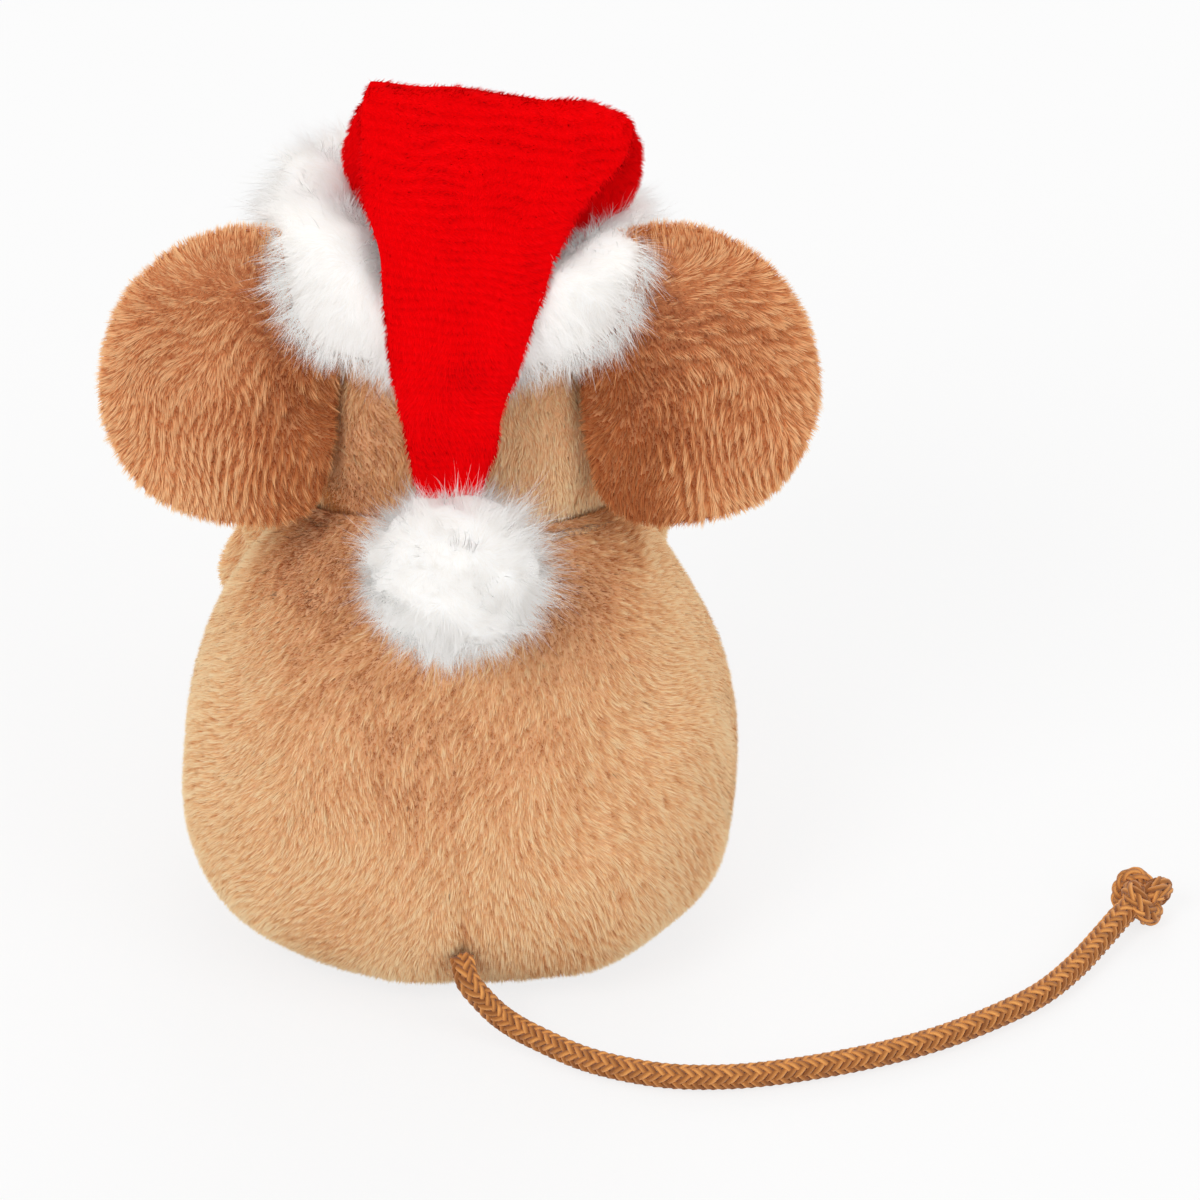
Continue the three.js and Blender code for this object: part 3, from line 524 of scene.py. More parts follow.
# The body's section is a ring between a circle, with a power of 2, and a square
BODY_POWER = 2.25
HEAD = np.array([0.0, 11.8, 75.8])
HEAD_RADIUS = 27.0
NECK_WAY = np.array([0.0, math.sin(math.radians(24)), math.cos(math.radians(24))])
SNOUT_WAY = np.array([0.0, math.cos(math.radians(12)), -math.sin(math.radians(12))])
SNOUT_UP = np.array([0.0, -SNOUT_WAY[2], SNOUT_WAY[1]])
SNOUT_LENGTH = 15
EAR_SIZE = np.array([31.5, 43.0])
EAR_THICKNESS = 5.6
TRIM_CENTRE = HEAD + [0, -1.8, 24.5]
TRIM_RADIUS, TRIM_HEIGHT, TRIM_REACH = 21.5, 11.5, 23.3
RIM = TRIM_CENTRE - [0, 0, TRIM_HEIGHT / 4]
CROWN_RADIUS, CROWN_HALF, CROWN_ASIDE = 17.4, 20.2, 3.9
FLAP_THICKNESS = 3.6
FOLD_ASIDE = 5.3
FOLD = HEAD + [FOLD_ASIDE, 0.2, 24.5 - TRIM_HEIGHT / 4 + 24.2 + 1.7]
FOLD_SLOPE = 2.8 / CROWN_HALF
POMPOM_RADIUS = 10.3


# Tail: a plaited cord out of the back seam, down to the floor and round to the right

CORD_DIAMETER = 3.5
CORD_LEAD = 10.6
CORD_ROUTE = [
    (0, -32.9, 10.9), (0.9, -35.8, 9.1), (2.9, -36.4, 6.4), (5.2, -36.8, 3.9), (7.8, -38, 2.6),
    (10.6, -39.6, 2), (16.8, -43.9, 1.85), (23.3, -46.7, 1.85), (29.9, -48.2, 1.85), (39.7, -48, 1.85),
    (53.3, -44.8, 1.85), (65, -40.2, 1.85), (73.6, -35.1, 1.85), (81.1, -29.2, 1.85), (86.2, -22.8, 1.9),
    (89.8, -17.2, 2.3), (93.1, -12.3, 3.1), (94.9, -9.9, 3.3),
]
cord_path = spline(CORD_ROUTE, 740)
cord_skin, cord_uv = plaited(cord_path, CORD_DIAMETER / 2 + 0.1, 8, CORD_LEAD)
tail_cord = piece("tail_cord_plait", cord_skin, cord_yarn, "tail", ["tail_cord"], uv=cord_uv)

# The knot is a tight overhand turn of the same cord
KNOT_CENTRE = np.array([96.1, -8.3, 3.5])
knot_way = unit([93.1 - 89.8, -12.3 + 17.2, 0])
knot_across = np.array([knot_way[1], -knot_way[0], 0])
turn = turns(240)[:, None]
knot_path = (KNOT_CENTRE + 0.92 * (np.sin(turn) + 2 * np.sin(2 * turn)) * knot_way
             + 1.02 * (np.cos(turn) - 2 * np.cos(2 * turn)) * knot_across - 1.6 * np.sin(3 * turn) * UP)
knot_skin, knot_uv = plaited(knot_path, CORD_DIAMETER / 2, 8, CORD_LEAD, closed=True)
tail_knot = piece("tail_knot_plait", knot_skin, cord_yarn, "tail", ["tail_knot"], uv=knot_uv)


# Each skin lies a little inside its solid, so that the pile comes out to the solid's face

# Body rows: rise, half width, back and front, in millimetres
BODY_ROWS = np.array([
    (0, 0.66, 0.62, 0.7), (0.035, 0.81, 0.775, 0.83), (0.1, 0.94, 0.925, 0.94), (0.17, 0.99, 0.99, 0.99),
    (0.25, 1, 1, 1), (0.35, 0.99, 0.975, 0.99), (0.46, 0.945, 0.91, 0.95), (0.57, 0.86, 0.81, 0.88),
    (0.67, 0.765, 0.71, 0.79), (0.76, 0.655, 0.61, 0.68), (0.85, 0.52, 0.5, 0.52), (0.93, 0.36, 0.37, 0.32),
]) * np.array([BODY_HEIGHT, BODY_HALF, BODY_BACK, BODY_FRONT])


def body_at(heights):
    """The body's half width, back and front at a height."""
    return [np.interp(heights, BODY_ROWS[:, 0], BODY_ROWS[:, k]) for k in (1, 2, 3)]


def body_share(points):
    """How far out points lie, as a share of the way to the body's face, and the body's half width there."""
    half_width, rear, front = body_at(points[:, 2])
    depth = np.where(points[:, 1] < 0, rear, front)
    across, deep = np.abs(points[:, 0] / half_width), np.abs(points[:, 1] / depth)
    return (across ** BODY_POWER + deep ** BODY_POWER) ** (1 / BODY_POWER), half_width


def square_rings(rows):
    a = turns(192)
    x, y = bowed(np.cos(a), 2 / BODY_POWER), bowed(np.sin(a), 2 / BODY_POWER)
    return [columns(x * half_width, np.where(y < 0, y * back, y * front), height)
            for height, half_width, back, front in rows]


def limb_place(side_share, height_share, way, root_radius):
    height = BODY_HEIGHT * height_share
    half_width, _, front = body_at(height)
    x = BODY_HALF * side_share
    y = front * (1 - abs(x / half_width) ** BODY_POWER) ** (1 / BODY_POWER)
    outward = unit([x / half_width ** 2, y / front ** 2, 0])
    return np.array([x, y, height]) + outward * (root_radius - 3), unit(way), root_radius, outward


LIMBS = {
    "arm_left": limb_place(-0.6, 0.625, (-0.22, 0.46, -0.86), 5.8),
    "arm_right": limb_place(0.6, 0.625, (-0.1, 0.63, -0.77), 5.8),
    "foot_left": limb_place(-0.44, 0.1, (-0.14, 0.99, 0), 7.2),
    "foot_right": limb_place(0.44, 0.1, (0.14, 0.99, 0), 7.2),
}


def settle_body(points):
    """Soft lumps, the seam down the back and the hollows for the head and limbs."""
    outward = unit((points - [0, 0, 34]) * [1, 1, 0.8])
    points = points + outward * (0.45 * waves(points, 26, 1) * (points[:, 2] > 4))[:, None]
    x, z = points[:, 0], points[:, 2]
    points[:, 0] += np.where(x < 0, -1.6, 0.5) * np.clip(np.abs(x) / 30, 0, 1) * bump(z, 22, 16)
    x = points[:, 0]
    back = (points[:, 1] < 0) & (z > 1.5)
    seam = 0.9 * bump(x, 0.5 * np.sin(z / 9), 1.3) * (0.45 + 0.55 * bump(z, 10, 14))
    tuck = 1.6 * bump(norms(points - [0, -34.5, 10.5]), 0, 4.5)
    points[:, 1] += np.where(back, seam + tuck, 0)
    points = cupped(points, HEAD, HEAD_RADIUS - 0.9, NECK_WAY)
    for root, _, radius, outward in LIMBS.values():
        points = cupped(points, root, radius - 0.4, outward)
    return points


inner_rows = BODY_ROWS - [0, PILE, PILE, PILE]
inner_rows[:, 0] = np.maximum(BODY_ROWS[:, 0] * (BODY_HEIGHT - PILE) / BODY_HEIGHT, PILE * 0.8)
bottom_rows = [(2.2, 2, 2, 2), (2.0, 14, 12, 13), (1.3, 22.5, 19, 21)]
top_rows = [(76.5, 9, 8.5, 7), (77.5, 3, 3, 2)]
body_rows = rounded(np.vstack([bottom_rows, inner_rows, top_rows]), 170, 1.6)
body_points, body_faces = skin_of(square_rings(body_rows))
body_skin = (settle_body(body_points), body_faces)
seat_rows = [(1.9, 1, 1, 1), (1.9, 16, 14, 15), (1.2, 22.6, 19.2, 21.4),
             (0.25, 22.9, 19.6, 21.8), (0, 18, 15, 17), (0, 1, 1, 1)]
seat_skin = skin_of(square_rings(rounded(seat_rows, 40, 0.3)))

# Head: turned about the snout's axis. Its profile goes from the back of the ball to the tip of the snout.
ball_turn = np.radians(np.linspace(180, 37, 40))
ball_line = columns(np.cos(ball_turn), np.sin(ball_turn)) * (HEAD_RADIUS - PILE)
snout_line = [(23.4, 14.6), (27, 14), (29.2, 12.9), (34.4, 9.7), (38, 6.4), (40.2, 3.2), (41, 0)]
head_profile = rounded(np.vstack([ball_line, snout_line]), 150, 2.0)
head_points, head_faces = skin_of(lathe(HEAD, SNOUT_WAY, head_profile, 144))
head_points = head_points + unit(head_points - HEAD) * (0.3 * waves(head_points, 20, 2))[:, None]
head_skin = (head_points, head_faces)


# Ears: two panels sewn round the edge

EAR_OUTLINE = np.array([
    (0, 0.13), (0.12, 0.03), (0.42, 0), (0.72, 0.06), (0.93, 0.24), (1, 0.46),
    (0.95, 0.7), (0.78, 0.89), (0.5, 1), (0.24, 0.96), (0.06, 0.8), (0, 0.5),
])


def ear_frame(side):
    azimuth, lift = math.radians(46.7), math.radians(13.7)
    level = np.array([side * math.sin(azimuth), -math.cos(azimuth), 0])
    outward = level * math.cos(lift) + UP * math.sin(lift)
    z = UP * math.cos(lift) - level * math.sin(lift)
    x = unit(ACROSS - z * z[0])
    return HEAD + outward * (HEAD_RADIUS + GAP + EAR_THICKNESS / 2), np.array([x, np.cross(z, x), z])


def pushed(points, centre, room):
    """Points nearer to a centre than the room between them move out to it."""
    rel = points - centre
    far = norms(rel)[:, None]
    return np.where(far < room, centre + rel / np.maximum(far, 1e-6) * room, points)


# Angles through which the ear's joint passes
EAR_BENDS = (-15, -7.5, 0, 7.5, 15)


def clear_of_head(points, root, axes):
    """Ear points that stay clear of the head and of the hat's trim at every angle of the ear's joint."""
    for degrees in EAR_BENDS:
        c, s = math.cos(math.radians(degrees)), math.sin(math.radians(degrees))
        spin = np.array([[c, -s, 0], [s, c, 0], [0, 0, 1]])
        points = pushed(points, spin @ (axes @ (HEAD - root)), HEAD_RADIUS - 0.6)
        ring_centre = spin @ (axes @ (TRIM_CENTRE - root))
        ring_way = spin @ (axes @ UP)
        rel = points - ring_centre
        out = rel - (rel @ ring_way)[:, None] * ring_way
        points = pushed(points, ring_centre + TRIM_RADIUS * out / np.maximum(norms(out), 1e-6)[:, None], 5.6)
    return points


def ear_skin(side):
    root, axes = ear_frame(side)
    flat = columns(side * (EAR_OUTLINE[:, 0] * EAR_SIZE[0] - EAR_THICKNESS / 2),
                   (EAR_OUTLINE[:, 1] - 0.33) * EAR_SIZE[1])
    outline = spline(flat, 144, closed=True)
    middle = np.array([side * 0.45 * EAR_SIZE[0], 0.17 * EAR_SIZE[1]])
    outline = (outline - middle) * (1 + 0.3 / norms(outline - middle)[:, None])
    half = EAR_THICKNESS / 2 - 0.7
    rings = []
    for t in np.linspace(0, np.pi, 64):
        size = max(math.sin(t) ** 0.42, 0.02) * (1 - 0.012 * bump(t, math.pi / 2, 0.07))
        x, z = (middle + outline * size).T
        rings.append(columns(x, -half * bowed(math.cos(t), 0.8), z))
    points, faces = skin_of(rings)
    dish = 0.8 * (((points[:, 0] - middle[0]) / 15) ** 2 + ((points[:, 2] - middle[1]) / 20) ** 2)
    points[:, 1] += 0.35 * waves(points, 17, 5 + side) - dish
    tucked = np.clip((13 - side * points[:, 0]) / 13, 0, 1) * np.clip((points[:, 2] - 1) / 12, 0, 1)
    points[:, 1] += 6 * tucked ** 1.3
    return (root + clear_of_head(points, root, axes) @ axes, faces), root, axes, middle


SIDES = ((-1, "left"), (1, "right"))
ears = {label: ear_skin(side) for side, label in SIDES}


# Arms and feet: a round root, a taper and a fuller end

ARM_ROWS = np.array([(0.3, 0.9), (0.55, 0.86), (0.8, 0.97), (1, 1), (1.18, 0.84), (1.29, 0.45)])
FOOT_ROWS = np.array([(0.2, 0.92), (0.45, 1), (0.65, 1), (0.82, 0.86), (0.94, 0.55)])
LIMB_INSET = 0.9


def limb_skin(name):
    root, way, root_radius, _ = LIMBS[name]
    rows, length, end = (FOOT_ROWS, 26.0, 8.5) if name.startswith("foot") else (ARM_ROWS, 20.5, 5.6)
    back = np.radians(np.linspace(180, 100, 12))
    ball = columns(np.cos(back), np.sin(back)) * (root_radius - LIMB_INSET)
    shaft = columns(rows[:, 0] * length, rows[:, 1] * end - LIMB_INSET)
    shaft[-1, 0] -= LIMB_INSET
    tip = [(shaft[-1, 0] + 0.8, shaft[-1, 1] * 0.5), (shaft[-1, 0] + 1.0, 0)]
    profile = rounded(np.vstack([ball, shaft, tip]), 70, 1.2)
    points, faces = skin_of(lathe(root, way, profile, 72))
    points = points + unit(points - root - way * length / 2) * (0.25 * waves(points, 9, 11))[:, None]
    points[:, 2] = np.maximum(points[:, 2], 0.5)
    # Past its root, the limb stays just outside the body's face
    share, half_width = body_share(points)
    room = 1 + 0.1 / half_width
    past_root = ((points - root) @ way) > 0.28 * length
    points[:, :2] *= np.where(past_root & (share < room), room / np.maximum(share, 0.3), 1)[:, None]
    return points, faces


limbs = {name: limb_skin(name) for name in LIMBS}


# Hat, in the head's place: crown, flap, trim and pompom

# Crown rows: rise, share of the way from round to folded flat, shift aside and width
CROWN_ROWS = np.array([
    (0, 0, 0.45, 0.755), (0.27, 0.2, 1.1, 0.87), (0.5, 0.45, 1.0, 1.0),
    (0.66, 0.64, 0.98, 1.045), (0.8, 0.8, 1.13, 1.02), (0.95, 0.95, 1.36, 0.99), (1, 1, 1.42, 0.95),
])
crown_top = FOLD[2] - (FLAP_THICKNESS / 2 + GAP) - VELOUR + FOLD_SLOPE * (FOLD_ASIDE - CROWN_ASIDE)


def crown_section(folded):
    """The middle and half depth of the crown where it is folded by a share."""
    return (RIM[1] + (HEAD[1] + 0.2 - RIM[1]) * folded,
            CROWN_RADIUS + (FLAP_THICKNESS / 2 - CROWN_RADIUS) * folded)


def crown_row(rise, folded, aside, wide):
    centre_y, half_depth = crown_section(folded)
    a = turns(192)
    x = (CROWN_HALF * wide - VELOUR) * np.cos(a)
    height = RIM[2] + (crown_top - RIM[2]) * rise
    return columns(CROWN_ASIDE * aside + x, centre_y + (half_depth - VELOUR) * np.sin(a),
                   height - FOLD_SLOPE * folded * x)


crown_lines = rounded(CROWN_ROWS * [22, 1, 1, 1], 90, 0.8) / [22, 1, 1, 1]
crown_rings = [crown_row(*row) for row in crown_lines]
# The front wall rises past the fold and rolls back behind it, and hides the flap's edge from the front
front_share = np.clip(np.sin(turns(192)) / 0.3, 0, 1)
for share, ring in zip(np.linspace(0.6, 1, 36), crown_rings[-36:]):
    ring[:, 1] += front_share * 1.9 * (share - 0.6) / 0.4
crown_edge = crown_rings[-1]
for forward, lift in ((-0.1, 1.2), (-0.3, 2.3), (-0.8, 2.9), (-1.3, 2.4), (-1.5, 1.2), (-1.6, 0.1)):
    crown_rings.append(crown_edge + front_share[:, None] * [0, forward, lift])
crown_points, crown_faces = skin_of(crown_rings)
around = np.arctan2(crown_points[:, 1] - RIM[1], crown_points[:, 0] - CROWN_ASIDE)
low = np.clip((crown_top - crown_points[:, 2]) / 16, 0, 1)
gathers = 0.5 * np.sin(9 * around + 0.7 * np.sin(3 * around)) * low + 0.35 * waves(crown_points, 12, 21)
crown_out = unit((crown_points - [CROWN_ASIDE, RIM[1], 105]) * [1, 1, 0.2])
crown_points = crown_points + crown_out * (gathers - 0.4)[:, None]
crown_skin = (cupped(crown_points, HEAD, HEAD_RADIUS - 0.6, -UP), crown_faces)

# The pompom rests against the back, and the flap comes down to it
POMPOM_HEIGHT = 0.835 * BODY_HEIGHT
rest_out = unit([0, -BODY_HEIGHT * 0.09, BODY_BACK * (0.61 - 0.5)])
POMPOM = np.array([0, -body_at(POMPOM_HEIGHT)[1], POMPOM_HEIGHT]) + rest_out * (POMPOM_RADIUS + 0.6)
flap_way = np.array([0, math.sin(math.radians(24.8)), math.cos(math.radians(24.8))])
FLAP_TIP = POMPOM + flap_way * (POMPOM_RADIUS + GAP + FLAP_THICKNESS / 2)
FLAP_TIP[0] = -0.9
TRIM_TOP, TRIM_REAR = TRIM_CENTRE[2] + TRIM_HEIGHT / 2, HEAD[1] - TRIM_REACH
flap_line = spline([
    FOLD + [0, 1.5, -0.4],
    FOLD,
    (FOLD_ASIDE / 2, HEAD[1] - TRIM_REACH / 2, TRIM_TOP + 0.72 * (FOLD[2] - TRIM_TOP)),
    (0, TRIM_REAR, TRIM_TOP + 3.6),
    (-0.45, TRIM_REAR - 4.5 - FLAP_THICKNESS / 2 - GAP, TRIM_CENTRE[2]),
    FLAP_TIP,
    FLAP_TIP - flap_way * 1.6,
], 150)
# Along the flap from fold to tip: its left edge and its right edge
FLAP_EDGES = np.array([
    (0, -12.9, 23.4), (0.03, -13.6, 24.1), (0.08, -14, 24.4), (0.14, -14, 23.2), (0.19, -13.9, 21.4),
    (0.22, -13.8, 20.1), (0.275, -13.3, 17.5), (0.33, -12.9, 15.4), (0.416, -12, 13.5), (0.47, -11.4, 12.8),
    (0.577, -10.3, 10.6), (0.705, -8.8, 8.2), (0.859, -7.4, 5.8), (0.946, -6.7, 4.2), (1, -6, 3.2),
])


def flap_rings():
    tangents = unit(np.gradient(flap_line, axis=0) * [0, 1, 1])
    rings = []
    a = turns(160)
    x, swell = np.cos(a), bowed(np.sin(a), 0.75)
    for share, centre, tangent in zip(np.arange(len(flap_line)) / (len(flap_line) - 1), flap_line, tangents):
        left, right = (np.interp(share, FLAP_EDGES[:, 0], FLAP_EDGES[:, k]) for k in (1, 2))
        across = unit([1, 0, -FOLD_SLOPE * (1 - share)])
        end = min(1, min(share, 1 - share) * len(flap_line) / 7)
        half = (FLAP_THICKNESS / 2 - VELOUR) * math.sqrt(end * (2 - end) * 0.9 + 0.1)
        roll = 0.55 * bump(x, 1, 0.16) + 0.35 * bump(x, -1, 0.14)
        roll -= 0.7 * bump(x, 0.62, 0.16) * bump(share, 0.25, 0.3)
        lift = half * swell + (roll - 0.1) * (0.3 + 0.7 * (1 - share))
        rings.append(centre * [0, 1, 1] + [(left + right) / 2, 0, 0]
                     + np.outer(((right - left) / 2 - VELOUR) * x, across)
                     + np.outer(lift, unit(np.cross(across, tangent))))
    return rings


def clear_of_crown(points):
    """Flap points inside the crown move back, out of it."""
    tilted = points[:, 2] + FOLD_SLOPE * (points[:, 0] - CROWN_ASIDE)
    rise = np.clip((tilted - RIM[2]) / (crown_top - RIM[2]), 0, 1)
    folded, wide = (np.interp(rise, CROWN_ROWS[:, 0], CROWN_ROWS[:, k]) for k in (1, 3))
    centre_y, half_depth = crown_section(folded)
    x = np.clip((points[:, 0] - CROWN_ASIDE) / (CROWN_HALF * wide), -1, 1)
    back = centre_y - (half_depth + 0.1) * np.sqrt(1 - x ** 2) - 0.2
    points = points.copy()
    points[:, 1] = np.where((tilted < crown_top) & (points[:, 1] > back), back, points[:, 1])
    return points


flap_points, flap_faces = skin_of(flap_rings())
flap_lumps = 0.28 * waves(flap_points, 15, 31) + 0.12 * waves(flap_points, 6, 32)
flap_points = flap_points + normals_of(flap_points, flap_faces) * flap_lumps[:, None]
flap_skin = (clear_of_crown(flap_points), flap_faces)

trim_ring = turns(160)
trim_outward = circle(160, ACROSS, [0, 1, 0])
degrees = np.degrees(trim_ring)[:, None]
trim_swell = 1 + 0.05 * np.sin(7 * trim_ring) + 0.03 * np.sin(13 * trim_ring + 1)
trim_lift = sum(lift * bump(degrees, centre, width) for lift, centre, width in (
    (7.0, 168, 50), (5.5, 208, 20), (2.0, 350, 35), (2.0, -10, 35),
    (4.5, 336, 20), (3.2, 231, 14), (3.0, 304, 14)))
# Beside the ears the top of the trim leans out over them
trim_over = 4.5 * bump(degrees, 207, 18) + 5.0 * bump(degrees, 335, 18)
trim_inner = 1 + 1.5 * bump(degrees, 205, 50) + 0.7 * bump(degrees, 320, 35)
across, upright = (bowed(v[None], 0.75) for v in (np.cos(turns(40)), np.sin(turns(40))))
trim_wide = 4.3 * across * np.where(across < 0, trim_inner, 1)
trim_tall = np.where(upright > 0, 4.8 + trim_lift, 4.8) * upright
trim_lean = trim_over * ((1 + upright) / 2) ** 2
trim_section = (trim_wide[:, :, None] * trim_outward[:, None] + trim_tall[:, :, None] * UP
                + trim_lean[:, :, None] * unit(trim_outward[:, None] - [0, 0.6, 0]))
trim_path = TRIM_CENTRE + TRIM_RADIUS * trim_outward
trim_skin = skin_of(trim_path[:, None] + trim_section * trim_swell[:, None, None], closed=True)

ball_rings = np.array([math.sin(t) * circle(60, ACROSS, [0, 1, 0]) + math.cos(t) * UP
                       for t in np.radians(np.linspace(2, 178, 40))])
lumpy_rings = ball_rings * (1 + 0.025 * waves(ball_rings.reshape(-1, 3), 0.55, 31)).reshape(40, 60, 1)
pompom_skin = skin_of(POMPOM + [-0.7, 0, 1.3] + lumpy_rings * [11.4, 10.2, 10.9])


# Skins as pieces

piece("body_plush_skin", body_skin, tan_backing, "body",
      ["body_cover", "stuffing_lower", "stuffing_upper"])
piece("head_plush_skin", head_skin, tan_backing, "head", ["head_cover", "head_stuffing"])
for label, (skin, *_) in ears.items():
    piece(f"ear_{label}_plush_skin", skin, ear_backing, f"ear_{label}",
          [f"ear_back_{label}", f"ear_front_{label}"])
for name, skin in limbs.items():
    piece(f"{name}_plush_skin", skin, tan_backing, name, [f"{name}_cover", f"{name}_stuffing"])
piece("hat_crown_velour_skin", crown_skin, red_backing, "head",
      ["hat_crown", "hat_stuffing"])
piece("hat_flap_velour_skin", flap_skin, red_backing, "hat_flap", ["hat_flap"])
piece("hat_trim_backing", trim_skin, white_backing, "head", ["hat_trim"])
piece("hat_pompom_core", pompom_skin, white_backing, "pompom", ["hat_pompom"])
piece("seat_panel_cloth", seat_skin, tan_backing, "body", ["seat_panel"])


# Pile and fur

head_tree, body_tree, flap_tree, crown_tree = map(obstacle, (head_skin, body_skin, flap_skin, crown_skin))
limb_trees = [obstacle(skin) for skin in limbs.values()]
ear_trees = [obstacle(skin) for skin, *_ in ears.values()]


def grow_body():
    rng = np.random.default_rng(101)

    def keep(p, n):
        in_head = norms(p - HEAD) < HEAD_RADIUS - 0.8
        in_seat = (p[:, 2] < 1.6) & (n[:, 2] < -0.3) & (np.abs(p[:, 0]) < 21) & (np.abs(p[:, 1]) < 19)
        in_limb = np.zeros(len(p), bool)
        for root, _, radius, _ in LIMBS.values():
            in_limb |= norms(p - root) < radius - 0.3
        return ~(in_head | in_seat | in_limb)

    roots, normals = scatter(body_skin, 18, rng, keep)
    x, y, z = roots.T
    flows = flow_along(0.5 * (x / 20)[:, None] * ACROSS - UP, normals,
                       18 * waves(roots, 34, 41) + 9 * waves(roots, 10, 42))
    # Painted shade: where the pile is brushed the other way its blades stand more upright, and their tint is
    # darkened for the shade seen down into the pile. A band across the shoulders and one at the pompom's
    # height are also darkened as painted shade.
    brushed_shade = (1.0 * bump(x, -19, 9) * bump(z, 62, 9) + 0.75 * bump(x, 17, 9) * bump(z, 62, 8)
               + 0.75 * bump(x, -9, 9) * bump(z, 43, 12) + 0.5 * bump(x, 8, 8) * bump(z, 40, 10)
               + 0.35 * bump(z, 64, 10) + 0.7 * bump(x, 0, 20) * bump(z, 67, 5)) * (y < 5)
    brushed_shade = np.clip(brushed_shade * (1 + 0.25 * waves(roots, 7, 43)), 0, 1)
    seam = bump(x, 0.5 * np.sin(z / 9), 0.9) * (y < 0) * bump(z, 14, 14)
    tufts = streaks(roots, flows, 1.0, 0.55, 44)
    hairs = streaks(roots, flows, 0.5, 0.5, 45)
    ways = lay(rng, normals, flows, 42 + 6 * tufts + 3 * hairs - 12 * brushed_shade, 8, 12, 78)
    lengths = 1.15 * (1 + 0.14 * tufts + 0.07 * hairs) * rng.uniform(0.8, 1.1, len(roots))
    lengths = shortened(roots, ways, lengths, [*limb_trees, head_tree])
    tints = (0.72 + 0.05 * waves(roots, 16, 46) + 0.15 * tufts + 0.08 * hairs
             - 0.48 * brushed_shade - 0.25 * seam + rng.normal(0, 0.05, len(roots)))
    for part, chosen in (("back", y < 0), ("front", y >= 0)):
        blades = [values[chosen] for values in (roots, normals, ways, lengths, tints)]
        strands(f"body_pile_{part}", tan_pile, "body", blades, 0.12, rng, soften=0.4)


def grow_head():
    rng = np.random.default_rng(102)

    def keep(p, n):
        rel = p - HEAD
        in_body = (rel @ NECK_WAY < -17.2) & (np.abs(rel @ SNOUT_WAY) < 25)
        return ~((rel[:, 2] > 23.5) | in_body)

    roots, normals = scatter(head_skin, 15, rng, keep)
    flows = flow_along(-SNOUT_WAY - 0.9 * UP, normals, 22 * waves(roots, 20, 51) + 12 * waves(roots, 6, 52))
    tufts = streaks(roots, flows, 1.0, 0.55, 53)
    hairs = streaks(roots, flows, 0.5, 0.5, 54)
    ways = lay(rng, normals, flows, 44 + 6 * tufts + 3 * hairs, 8, 15, 78)
    lengths = 1.25 * (1 + 0.15 * tufts + 0.07 * hairs) * rng.uniform(0.8, 1.1, len(roots))
    lengths *= np.interp((roots - HEAD) @ SNOUT_WAY, [20, 38], [1, 0.6])
    lengths = shortened(roots, ways, lengths, [*ear_trees, body_tree, flap_tree])
    # Painted shade: the tint is darkened in the crease beside each ear's root and over the left of the back
    # of the head. Over the right of the back it is lightened as painted light.
    crease_shade = np.zeros(len(roots))
    for _, root, axes, _ in ears.values():
        local = (roots - root) @ axes.T
        crease_shade += bump(local[:, 0], 0, 3.0) * bump(local[:, 2], 0, 18)
    x = roots[:, 0]
    shade = (0.38 * bump(x, -11, 9) - 0.3 * bump(x, 14, 8)) * (roots[:, 1] < 0)
    crease_shade = np.clip(crease_shade, 0, 1) * np.where(x < 0, 0.25, 0.08)
    tints = (0.76 + 0.05 * waves(roots, 12, 55) + 0.09 * tufts + 0.06 * hairs - shade - crease_shade
             + rng.normal(0, 0.06, len(roots)))
    blades = (roots, normals, ways, lengths, tints)
    strands("head_pile", tan_pile, "head", blades, 0.14, rng, soften=0.3)


# Widths of a rib that runs down the ear, of one across it, and of a wale in the velour
RIB_DOWN, RIB_ACROSS, WALE = 1.35, 1.5, 0.95


def grow_ear(label):
    """Ribbed pile: it falls in the lower part, lies level above and rises at the top."""
    rng = np.random.default_rng(103 if label == "left" else 104)
    skin, root, axes, middle = ears[label]
    roots, normals = scatter(skin, 19, rng)
    local = (roots - root) @ axes.T
    u, w = local[:, 0] - middle[0], local[:, 2] - middle[1]
    outward = unit(columns(u, 0, w)) @ axes
    rim = np.clip((np.hypot(u / 0.75, w) - 11) / 9, 0, 1)
    lower, falling, rising = (1 / (1 + np.exp(v)) for v in ((w + 5) / 2.5, (w - 4) / 3, (15 - w) / 2))
    aside = (1 if label == "right" else -1) * axes[0] * bump(w, 10, 9)[:, None]
    flows = flow_along(UP * (rising - falling)[:, None] + 1.2 * aside + 1.3 * outward * (rim ** 2)[:, None],
                       normals, 16 * waves(roots, 12, 62))
    warp = 1.1 * waves(roots, 7, 61) + 0.5 * waves(roots, 2.5, 65)
    ribs_down = np.sin(2 * np.pi * u / RIB_DOWN + warp)
    ribs_level = np.sin(2 * np.pi * (w + 0.12 * u) / RIB_ACROSS + 1.8 * warp)
    tufts = streaks(roots, flows, 1.0, 0.7, 63)
    ribs = 0.9 * lower * ribs_down + (1 - lower) * (0.45 * ribs_level + 0.55 * tufts) + 0.3 * lower * tufts
    ways = lay(rng, normals, flows, 32 + 16 * ribs + 26 * rim, 7, 4, 80)
    lengths = 1.4 * (1 + 0.42 * ribs) * rng.uniform(0.8, 1.1, len(roots))
    lengths = shortened(roots, ways, np.clip(lengths, 0.5, 2.2), [head_tree])
    # Painted shade: the tint is darkened towards the ear's edge beside the head, more so on one face, and the
    # whole right ear is darkened as well.
    inner_shade = np.clip(1 - (np.abs(local[:, 0]) - 2) / 13, 0, 1) ** 1.5 * (0.72 + 0.16 * (local[:, 1] < 0))
    tints = (0.82 + 0.42 * ribs + 0.05 * waves(roots, 10, 64) - inner_shade + 0.08 * rim
             - (0.27 if label == "right" else 0) + rng.normal(0, 0.08, len(roots)))
    blades = (roots, normals, ways, lengths, tints)
    strands(f"ear_{label}_pile", ear_pile, f"ear_{label}", blades, 0.14, rng)


